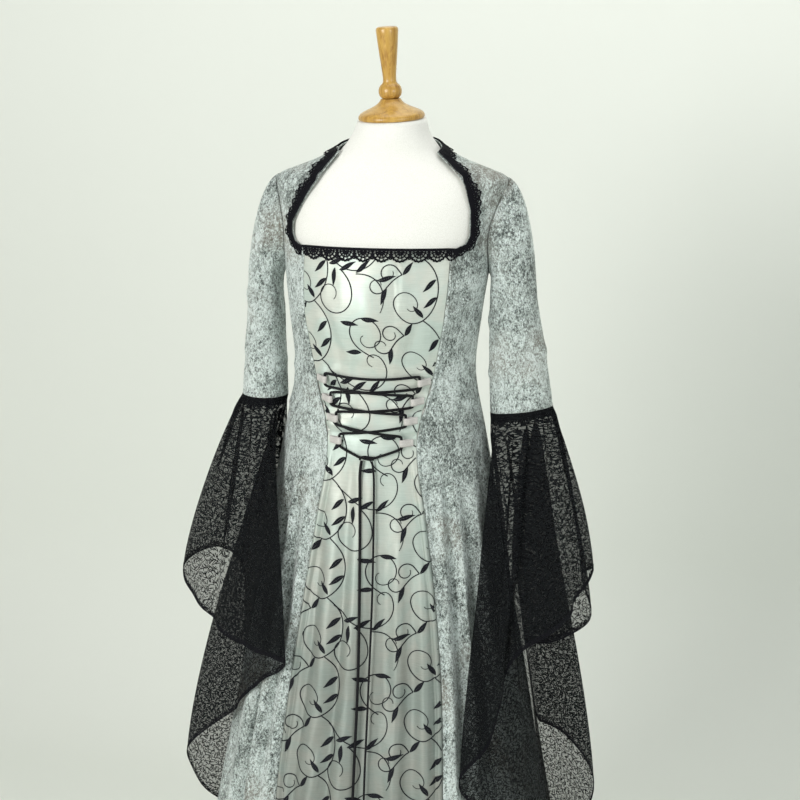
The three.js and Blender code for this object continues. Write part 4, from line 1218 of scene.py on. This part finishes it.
def neck_path():
    """Places (turn, height) round the neck's edge, closed, from the left of the front."""
    heights = NECK_EDGE.rows[:, 0]
    corner = turn_at(NECK_FRONT, NECKLINE)
    front = [(share * corner, NECKLINE) for share in np.linspace(-1, 1, FRONT_STEPS + 1)]
    right = [(neck_edge(1, h), h) for h in heights] + [(math.pi / 2, NECK_TOP)]
    behind = [(lerp(math.pi / 2, 1.5 * math.pi, q), lerp(BACK_NECK, NECK_TOP, (2 * q - 1) ** 2))
              for q in np.arange(1, 12) / 12]
    left = [(1.5 * math.pi, NECK_TOP)] + [(neck_edge(-1, h) + 2 * math.pi, h) for h in heights[::-1]]
    return np.array(front + right + behind + left, float)


def neck_frame():
    """place(along, across, out) for the neck trim, its length, and the stretch across the front."""
    turn, height = neck_path().T
    spots = skin(turn, height)
    ahead = unit(np.roll(spots, -1, axis=0) - np.roll(spots, 1, axis=0))
    away = np.cross(ahead, skin_normal(turn, height))
    around = (skin(turn + TURN_STEP, height) - skin(turn - TURN_STEP, height)) / (2 * TURN_STEP)
    up = (skin(turn, height + 1) - skin(turn, height - 1)) / 2
    by_turn = (away * around).sum(-1) / (around * around).sum(-1)
    by_height = (away * up).sum(-1) / (up * up).sum(-1)
    closed = [np.append(row, row[0]) for row in (turn, height, by_turn, by_height)]
    closed[0][-1] += 2 * math.pi
    lengths = running(size_of(np.roll(spots, -1, axis=0) - spots))
    front = lengths[FRONT_STEPS]

    def place(along, across, out):
        turn, height, dt, dh = (np.interp(along % lengths[-1], lengths, row) for row in closed)
        beside = smooth(along, front, front + 20) * smooth(lengths[-1] - along, 0, 20)
        ruffle = beside * (0.8 + 1.1 * np.sin(along / 3.4) * across / TRIM_WIDTH)
        width = across * (1 - 0.16 * beside + 0.07 * beside * np.sin(along / 8.3))
        return lie(turn + dt * width, height + dh * width, TRIM_LIFT + out + ruffle)

    return place, lengths[-1], front


place, neck_length, front_length = neck_frame()
bm = bmesh.new()
pitch = front_length / FRONT_FANS
repeat(bm, lambda bm: open_fan(bm, pitch, TRIM_WIDTH), (0, 0), (pitch, 0), FRONT_FANS)
tight_count = int((neck_length - front_length) / TIGHT_PITCH)
tight_rows(bm, front_length, TIGHT_PITCH, tight_count, [
    (0, TRIM_WIDTH - 1, 0.0), (0.5, TRIM_WIDTH - 4, -0.7)])
band(bm, neck_length, 0, HEADING, 3, 0.3)
band(bm, neck_length, HEADING + 0.9, HEADING + 1.9, 3, 0.6, 0.25)
neck_trim = lace_piece("neck_trim", bm, place, 0.8)
print("neck trim", round(neck_length), "mm round, fans:", FRONT_FANS + 2 * tight_count)

# %% [markdown]
# The bell's own surface carries its trims, so a trim's frame there measures along an edge of the
# bell and across its threads.

# %% Trims of the bells
CUFF_TRIM = 18
CUFF_PITCH = 13
BRAID_LOOP = 6.2
BELL_LACE = 0.9
ROUND_STEP = 0.002  # shares of a bell's round and drop, for slopes across it
DROP_STEP = 0.02


def bell_frame(word, low):
    """place(along, across, out) at a bell's cuff, or at its hem where low is true."""
    shares = np.linspace(0, 1, 961)
    edge, toward = (1.0, -1) if low else (0.0, 1)
    lengths = running(size_of(np.diff(bell_place(word, shares, edge), axis=0)))
    inner = bell_place(word, shares, edge + toward * DROP_STEP) - bell_place(word, shares, edge)
    drops = size_of(inner) / DROP_STEP

    def place(along, across, out):
        s = np.interp(along % lengths[-1], lengths, shares)
        t = np.clip(edge + toward * across / np.interp(s, shares, drops), 0, 1)
        p = bell_place(word, s, t)
        around = bell_place(word, s + ROUND_STEP, t) - bell_place(word, s - ROUND_STEP, t)
        lower, upper = np.minimum(t + DROP_STEP, 1), np.maximum(t - DROP_STEP, 0)
        down = bell_place(word, s, lower) - bell_place(word, s, upper)
        normal = unit(np.cross(around, down) * -SIDES[word])
        return p + normal * np.asarray(out)[..., None]

    return place, lengths[-1]


def cuff_lace(bm, length):
    count = int(length / CUFF_PITCH)
    tight_rows(bm, 0, length / count, count, [(0, CUFF_TRIM, 1.7), (0.5, CUFF_TRIM - 4, 1.1)])
    band(bm, length, 0, HEADING + 1, 3, 1.8, 0.3)
    band(bm, length, HEADING + 3, HEADING + 5, 3, 1.5, 0.4)


def braid_loop(bm, pitch):
    arc(bm, pitch / 2, 5.2, 0.52 * pitch, 3.4, 0.7, 5, 0.0)
    arc(bm, pitch / 2, 2.0, 0.52 * pitch, -3.4, 0.8, 5, 0.2)
    spoke(bm, pitch / 2, 0, -90, 0.5, 3.6, 0.6, 0.0)


def hem_braid(bm, length):
    count = int(length / BRAID_LOOP)
    pitch = length / count
    repeat(bm, lambda bm: braid_loop(bm, pitch), (0, 0), (pitch, 0), count)
    band(bm, length, 1.2, 3.4, 4, 0.3, 0.4)
    band(bm, length, 4.2, 5.8, 4, 0.1, 0.4)


trims = {}
for word in SIDES:
    for kind, low, lace in (("cuff_trim", False, cuff_lace), ("bell_hem_trim", True, hem_braid)):
        place, length = bell_frame(word, low)
        bm = bmesh.new()
        lace(bm, length)
        trims[f"{kind}_{word}"] = lace_piece(f"{kind}_{word}", bm, place, BELL_LACE)
        print(f"{kind} {word}: {length / 1000:.2f} m")

# %% [markdown]
# ## The lacing
#
# Four ribbon loops are sewn into each of the panel's seams. A satin cord crosses between them,
# sags a little under its own weight, and is tied at the bottom, where its two free ends hang down
# the skirt. A ribbon loop is a strip that runs in from the seam, round the cord and back.

# %% Ribbon loops
LOOP_LENGTH = 20
LOOP_HEIGHT = 11
LOOP_HOLE = 5.4
LOOP_OUT = 2.4
LOOP_HALF = LOOP_HOLE / 2 + 1  # half the breadth of a loop's round end
LOOP_TILT = 0.05
ROUND_FROM = 0.4  # shares of a loop's ribbon between which it turns round the cord
ROUND_TO = 0.6
UP = np.array([0.0, 0.0, 1.0])


def loop_place(side, height):
    """The middle of a loop's hole."""
    seam = turn_at(PANEL(height, "half"), height)
    turn = side * (seam - (LOOP_LENGTH - LOOP_HALF) / BODY(height, "front"))
    return skin(turn, height) + skin_normal(turn, height) * (LOOP_HALF + LOOP_OUT)


def ribbon_loop(word, number, height):
    side = SIDES[word]
    middle = loop_place(side, height)
    seam = turn_at(PANEL(height, "half"), height)
    normal = unit(skin_normal(side * (seam - 0.06), height) * (1, 1, 0))
    inward = np.cross(UP, normal) * -side
    radius = LOOP_HOLE / 2 + 0.5
    run = LOOP_LENGTH - radius + 2
    floor = -(LOOP_HALF + LOOP_OUT)

    def place(s, t):
        over = smooth(s, 0, ROUND_FROM)
        angle = np.pi * np.clip((s - ROUND_FROM) / (ROUND_TO - ROUND_FROM), 0, 1)
        back = np.clip((s - ROUND_TO) / (1 - ROUND_TO), 0, 1)
        away = -run * (1 - np.clip(s / ROUND_FROM, 0, 1)) + radius * np.sin(angle) - run * back
        out = np.where(s < ROUND_FROM, lerp(floor + 3.0, radius, over), radius * np.cos(angle))
        out = np.where(s > ROUND_TO, lerp(-radius, floor + 1.6, back), out)
        rise = (t - 0.5) * LOOP_HEIGHT + 0.5 * np.sin(7 * s + number) - LOOP_TILT * (away + run)
        return middle + inward * away[:, None] + normal * out[:, None] + UP * rise[:, None]

    bm = grid_shape(48, 4, place)
    return thicken(piece_from(f"loop_{word}_{number}_ribbon", bm, ribbon_satin), 0.6, 0)


loops = {}
for number, height in enumerate(LOOP_HEIGHTS, 1):
    for word in SIDES:
        loops[f"loop_{word}_{number}"] = ribbon_loop(word, number, height)
print("loops:", len(loops))

# %% Crossing cords
CORD = 2.1
LOOP_END = LOOP_HEIGHT / 2 + SEAM


def cord_piece(name, points, radius=CORD):
    """A round cord along a smooth curve through points in millimetres."""
    curve = bpy.data.curves.new(name, "CURVE")
    curve.dimensions = "3D"
    curve.bevel_depth = radius * MM
    curve.bevel_resolution = 4
    curve.resolution_u = 6
    curve.use_fill_caps = True
    spline = curve.splines.new("NURBS")
    spline.points.add(len(points) - 1)
    for spot, p in zip(spline.points, points):
        spot.co = (*(np.asarray(p) * MM), 1)
    spline.use_endpoint_u = True
    spline.order_u = 3
    curve.materials.append(cord_satin)
    piece = put(name, curve)
    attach(piece, "root")
    return piece


def over_panel(across, height, out):
    turn = turn_at(across, height)
    return skin(turn, height) + skin_normal(turn, height) * out


def crossing(name, start_side, start_height, start_down, end_side, end_height, lift, sag):
    start, end = loop_place(start_side, start_height), loop_place(end_side, end_height)
    leave = -1 if start_down else 1
    path = [start, start + UP * leave * LOOP_END, start + UP * leave * (LOOP_END + 3)]
    from_z, to_z = path[-1][2] + leave, end[2] + LOOP_END + 4
    for share in (0.06, 0.12, 0.3, 0.5, 0.7, 0.88, 0.94):
        height = lerp(from_z, to_z, share) - sag * 4 * share * (1 - share)
        path.append(over_panel(lerp(start[0], end[0], share), height, lift))
    path += [end + UP * (LOOP_END + 3), end + UP * LOOP_END, end]
    return cord_piece(name, path)


first = LOOP_HEIGHTS[0]
cords = {"lace_top": crossing("lace_top_cord", -1, first, False, 1, first, 4, 6)}
for number, (high, low) in enumerate(zip(LOOP_HEIGHTS, LOOP_HEIGHTS[1:]), 1):
    for kind, side, lift in (("lace_over", -1, 9), ("lace_under", 1, 4)):
        node = f"{kind}_{number}"
        cords[node] = crossing(f"{node}_cord", side, high, True, -side, low, lift, 2)
print("crossing cords:", len(cords))

# %% [markdown]
# The knot is a simple half hitch: the two low strands run into it from the sides, and a short
# stretch of cord wraps over them. The free ends are the only cords that can swing, so their real
# length is worked out and printed.

# %% Knot and free ends
KNOT_PLACE = (-4, 976, 6)  # across, height and out from the cloth
KNOT_HALF = 12
KNOT_CORD = 1.8  # radii of the cord, pulled thin in the knot, and unlike in its two ends
END_CORD = {"left": 2.3, "right": 1.7}

knot_middle = over_panel(*KNOT_PLACE)
for word, side in SIDES.items():
    start = loop_place(side, LOOP_HEIGHTS[-1])
    path = [start, start - UP * LOOP_END, start - UP * (LOOP_END + 3)]
    target = knot_middle + np.array([side * KNOT_HALF, 0, 0])
    for share in (0.12, 0.25, 0.6, 0.85):
        z = lerp(start[2] - LOOP_END - 4, target[2], share) - 3 * share * (1 - share)
        path.append(over_panel(lerp(start[0], target[0], share), z, 4.5))
    path += [target, knot_middle + np.array([side * 3, 0, 1])]
    cords[f"lace_low_{word}"] = cord_piece(f"lace_low_{word}_cord", path)

KNOT_PATH = [(-11, -1.0, -3.0), (-8, -2.5, 1.5), (-3, -3.4, 3.0), (3, -3.6, 2.2), (8, -2.6, 0.5),
             (11, 0.5, -2.2), (6, 2.0, -3.0), (-2, 1.8, -2.5), (-9, 1.0, 0.5), (-11, -1.0, 1.5)]
cords["lace_knot"] = cord_piece("lace_knot_cord", list(knot_middle + np.array(KNOT_PATH)), KNOT_CORD)

END_LEFT = ((-12, 971.2, 6), (-15, 955, 5), (-14.5, 930, 4.3), (-14, 900, 4), (-12.5, 850, 4),
            (-11.5, 805, 4), (-10, 760, 4), (-8.5, 710, 4), (-7, 665, 4), (-6, 620, 4), (-5, 573, 4),
            (-4, 526, 4), (-3, 480, 4), (-2.6, 437, 4), (-2.2, 394, 4), (-2, 352, 4))
END_RIGHT = ((4, 971.2, 6), (7, 955, 5), (7.6, 930, 4.3), (8, 900, 4), (8.8, 850, 4), (9.4, 805, 4),
             (10, 760, 4), (10.3, 710, 4), (10.6, 665, 4), (11, 620, 4), (12, 573, 4), (13, 526, 4),
             (14, 480, 4), (15, 437, 4), (16.2, 400, 4), (17, 366, 4))
for word, rows in (("left", END_LEFT), ("right", END_RIGHT)):
    radius = END_CORD[word]
    points = [over_panel(*row) for row in rows]
    piece = cord_piece(f"lace_end_{word}_cord", points, radius)
    length = size_of(np.diff(points, axis=0)).sum() * MM
    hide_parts(f"lace_end_{word}")
    print(f"free end {word}: {length:.3f} m")

# %% [markdown]
# ## The dress form
#
# The form is one smooth padded body under the dress. It is the cloth's own oval drawn in by a few
# millimetres, though in places the cloth's inner side still reaches it. It closes under the hips.

# %% Padded form
FORM = Table("height half front back", [
    (780, 148, 92, 118), (800, 158, 100, 126), (880, 164, 106, 128), (960, 158, 102, 116)])
FORM_BOTTOM = 780
FORM_JOIN = (960, 1040)  # the form passes from its own table to the cloth's between these heights
FORM_TOP = 1490
SHOULDER_START = (1360, 1396)  # extra clearance grows, and goes again
SHOULDER_END = (1440, 1460)
TIP_START = 1466
FORM_CLEARANCE = 3.6
SHOULDER_CLEARANCE = 4
TIP_FORWARD = math.radians(5)
TIP_SIDEWAYS = math.radians(2)
NECK_SHIFT = 11


def form_place(s, t):
    turn, height = 2 * np.pi * s, lerp(FORM_BOTTOM, FORM_TOP, t)
    depth = np.where(np.cos(turn) > 0, FORM(height, "front"), FORM(height, "back"))
    hips = spots_of(FORM(height, "half") * np.sin(turn), -depth * np.cos(turn), height)
    shoulder = smooth(height, *SHOULDER_START) - smooth(height, *SHOULDER_END)
    gap = FORM_CLEARANCE + SHOULDER_CLEARANCE * shoulder
    p = skin(turn, height) - skin_normal(turn, height) * gap[..., None]
    p = lerp(hips, p, smooth(height, *FORM_JOIN)[..., None])
    tipped = p[..., 1] * math.tan(TIP_FORWARD) + (p[..., 0] - NECK_SHIFT) * math.tan(TIP_SIDEWAYS)
    p[..., 2] += tipped * smooth(height, TIP_START, FORM_TOP)
    return p


bm = grid_shape(96, 120, form_place)
bmesh.ops.remove_doubles(bm, verts=bm.verts, dist=WELD)
bmesh.ops.holes_fill(bm, edges=[edge for edge in bm.edges if edge.is_boundary], sides=0)
bmesh.ops.recalc_face_normals(bm, faces=bm.faces)
form = piece_from("form_torso_jersey", bm, jersey)
print("form vertices:", len(form.data.vertices))

# %% [markdown]
# ## Cap, finial, pole and base
#
# These are turned on a lathe, so each is a profile spun about its axis. The cap and the finial
# lean a little forward with the form's neck.

# %% Turned parts
EDGE_ROUND = 1.2
EDGE_ANGLE = math.radians(30)  # edges sharper than this are rounded


def turned_part(name, outline, look, steps=64):
    """Spins a profile of (radius, height) in millimetres about the upright axis."""
    bm = bmesh.new()
    verts = [bm.verts.new((radius * MM, 0, height * MM)) for radius, height in outline]
    edges = [bm.edges.new(pair) for pair in zip(verts, verts[1:])]
    bmesh.ops.spin(bm, geom=verts + edges, cent=(0, 0, 0), axis=(0, 0, 1), angle=2 * math.pi,
                   steps=steps, use_merge=True)
    bmesh.ops.remove_doubles(bm, verts=bm.verts, dist=WELD)
    bmesh.ops.recalc_face_normals(bm, faces=bm.faces)
    for face in bm.faces:
        face.smooth = True
    piece = piece_from(name, bm, look)
    soft = piece.modifiers.new("soft_edges", "BEVEL")
    soft.width = EDGE_ROUND * MM
    soft.segments = 3
    soft.limit_method = "ANGLE"
    soft.angle_limit = EDGE_ANGLE
    return piece


cap = turned_part("neck_cap_wood", [
    (0, 0.4), (50, 0.4), (51.5, 2.2), (51.8, 4), (51, 7), (48.5, 10), (44, 12.6), (38, 15.4), (32, 18),
    (26, 20.8), (21.5, 23.8), (18.5, 26.6), (16.5, 29), (15.5, 31.7), (0, 31.7)], wood)
finial = turned_part("finial_wood", [
    (0, 32), (12, 32), (14.6, 33.6), (16.8, 36.4), (18, 40.6), (18, 44.6), (16.9, 49), (14.6, 52.4),
    (12, 54.6), (10.6, 57.4), (10.2, 61), (10.5, 66), (11.4, 76), (12.8, 89), (14.4, 104), (15.8, 118),
    (16.9, 130), (17.3, 135), (16.8, 138.2), (15, 140), (11, 140.6), (0, 140.6)], wood)
tip = Matrix.Translation((NECK_SHIFT * MM, 0, FORM_TOP * MM))
tip = tip @ Matrix.Rotation(TIP_FORWARD, 4, "X") @ Matrix.Rotation(-TIP_SIDEWAYS, 4, "Y")
for piece in (cap, finial):
    piece.data.transform(tip)
pole = turned_part("stand_pole_metal", [(0, 10), (14, 10), (14, 780), (0, 780)], metal, 40)
base = turned_part("stand_base_metal", [
    (0, 0), (163, 0), (165, 2), (165, 7), (162, 10), (0, 10)], metal, 96)
print("turned parts:", cap.name, finial.name, pole.name, base.name)

# %% [markdown]
# ## What stands for what
#
# Each shell hides the solid it stands for.


def stands_for(piece, slot, *nodes):
    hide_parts(*nodes)


stands_for(panel, "taffeta", "front_panel")
for node, piece in velvet_pieces.items():
    stands_for(piece, "velvet", node)
for word in SIDES:
    stands_for(bells[word], "sheer_net", f"bell_{word}")
for node, piece in {**trims, "neck_trim": neck_trim}.items():
    stands_for(piece, "black_lace", node)
for node, piece in loops.items():
    stands_for(piece, "ribbon", node)
for node, piece in cords.items():
    stands_for(piece, "lacing_cord", node)
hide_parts(*[f"lace_in_{word}_{number}" for word in SIDES for number in range(1, 5)])
stands_for(form, "jersey", "form_torso")
stands_for(cap, "turned_wood", "neck_cap")
stands_for(finial, "turned_wood", "finial")
stands_for(pole, "stand_metal", "stand_pole")
stands_for(base, "stand_metal", "stand_base")


for word in SIDES:
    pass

# %% [markdown]
# ## Studio
#
# A pale floor curves up into a plain pale backdrop. A large soft light stands at the left of the
# camera and a weaker one at its right, both only a little higher than the form, so they graze
# cloth that faces up. A third light washes the backdrop, and the room's own light fills the
# shadows.
# From behind the backdrop can be seen through, so that the dress's back can be looked at too.

# %% Floor and backdrop
WALL = 1.25
WALL_TOP = 4
CORNER = 0.45  # radius of the curve between floor and wall
FLOOR_FRONT = -3.5
FLOOR_HALF = 5
backdrop_look, tree, shader = new_look("studio_paper")
behind = add(tree, "ShaderNodeNewGeometry", {}).outputs["Backfacing"]
feed(tree, shader, {"Base Color": (0.82, 0.845, 0.795, 1), "Alpha": maths(tree, "SUBTRACT", 1.0, behind),
                    "Roughness": 0.95, "Specular IOR Level": 0.1})

bm = bmesh.new()
bend_angles = np.linspace(0, math.pi / 2, 13)
curved = [(WALL - CORNER + CORNER * math.sin(a), CORNER * (1 - math.cos(a))) for a in bend_angles]
profile = [(FLOOR_FRONT, 0), *curved, (WALL, WALL_TOP)]
verts = [bm.verts.new((-FLOOR_HALF, y, z)) for y, z in profile]
edges = [bm.edges.new(pair) for pair in zip(verts, verts[1:])]
swept = bmesh.ops.extrude_edge_only(bm, edges=edges)["geom"]
bmesh.ops.translate(bm, vec=(2 * FLOOR_HALF, 0, 0), verts=verts_among(swept))
bm.normal_update()
bm.faces.ensure_lookup_table()
if bm.faces[0].normal.z < 0:
    bmesh.ops.reverse_faces(bm, faces=bm.faces)
for face in bm.faces:
    face.smooth = True
backdrop = object_from("backdrop", bm, backdrop_look)
print("the backdrop stands", WALL, "m behind the dress")

# %% Lights


def soft_light(name, place, aim, size, power, colour=(1, 1, 1)):
    lamp = put(name, bpy.data.lights.new(name, "AREA"))
    lamp.data.shape = "SQUARE"
    lamp.data.size = size
    lamp.data.energy = power
    lamp.data.color = colour
    lamp.location = place
    lamp.rotation_euler = (Vector(aim) - Vector(place)).to_track_quat("-Z", "Y").to_euler()


soft_light("key", (-1.55, -2.75, 1.85), (0, 0, 1.2), 1.3, 66, (1.0, 1.0, 0.97))
soft_light("fill", (2.3, -2.0, 1.7), (0, 0, 1.1), 1.2, 24, (0.97, 1.0, 0.99))
soft_light("wash", (0.35, 0.25, 3.3), (0.45, WALL, 1.1), 2.0, 26, (1.0, 1.0, 0.98))
ROOM_LIGHT = 0.52
world = bpy.data.worlds.new("room")
world.use_nodes = True
tree = world.node_tree
upward = apart(tree, add(tree, "ShaderNodeTexCoord", {}).outputs["Generated"])[2]
glow = ramp(tree, maths(tree, "MULTIPLY_ADD", upward, 0.5, 0.5), [
    (0.30, (0.42, 0.44, 0.41)), (0.50, (0.98, 1.0, 0.96)), (0.72, (0.42, 0.43, 0.41))])
feed(tree, tree.nodes["Background"], {0: glow, 1: ROOM_LIGHT})
scene.world = world
scene.view_settings.view_transform = "Standard"
scene.cycles.transparent_max_bounces = 24  # enough layers of net to see through
print("lamps:", len(bpy.data.lights))
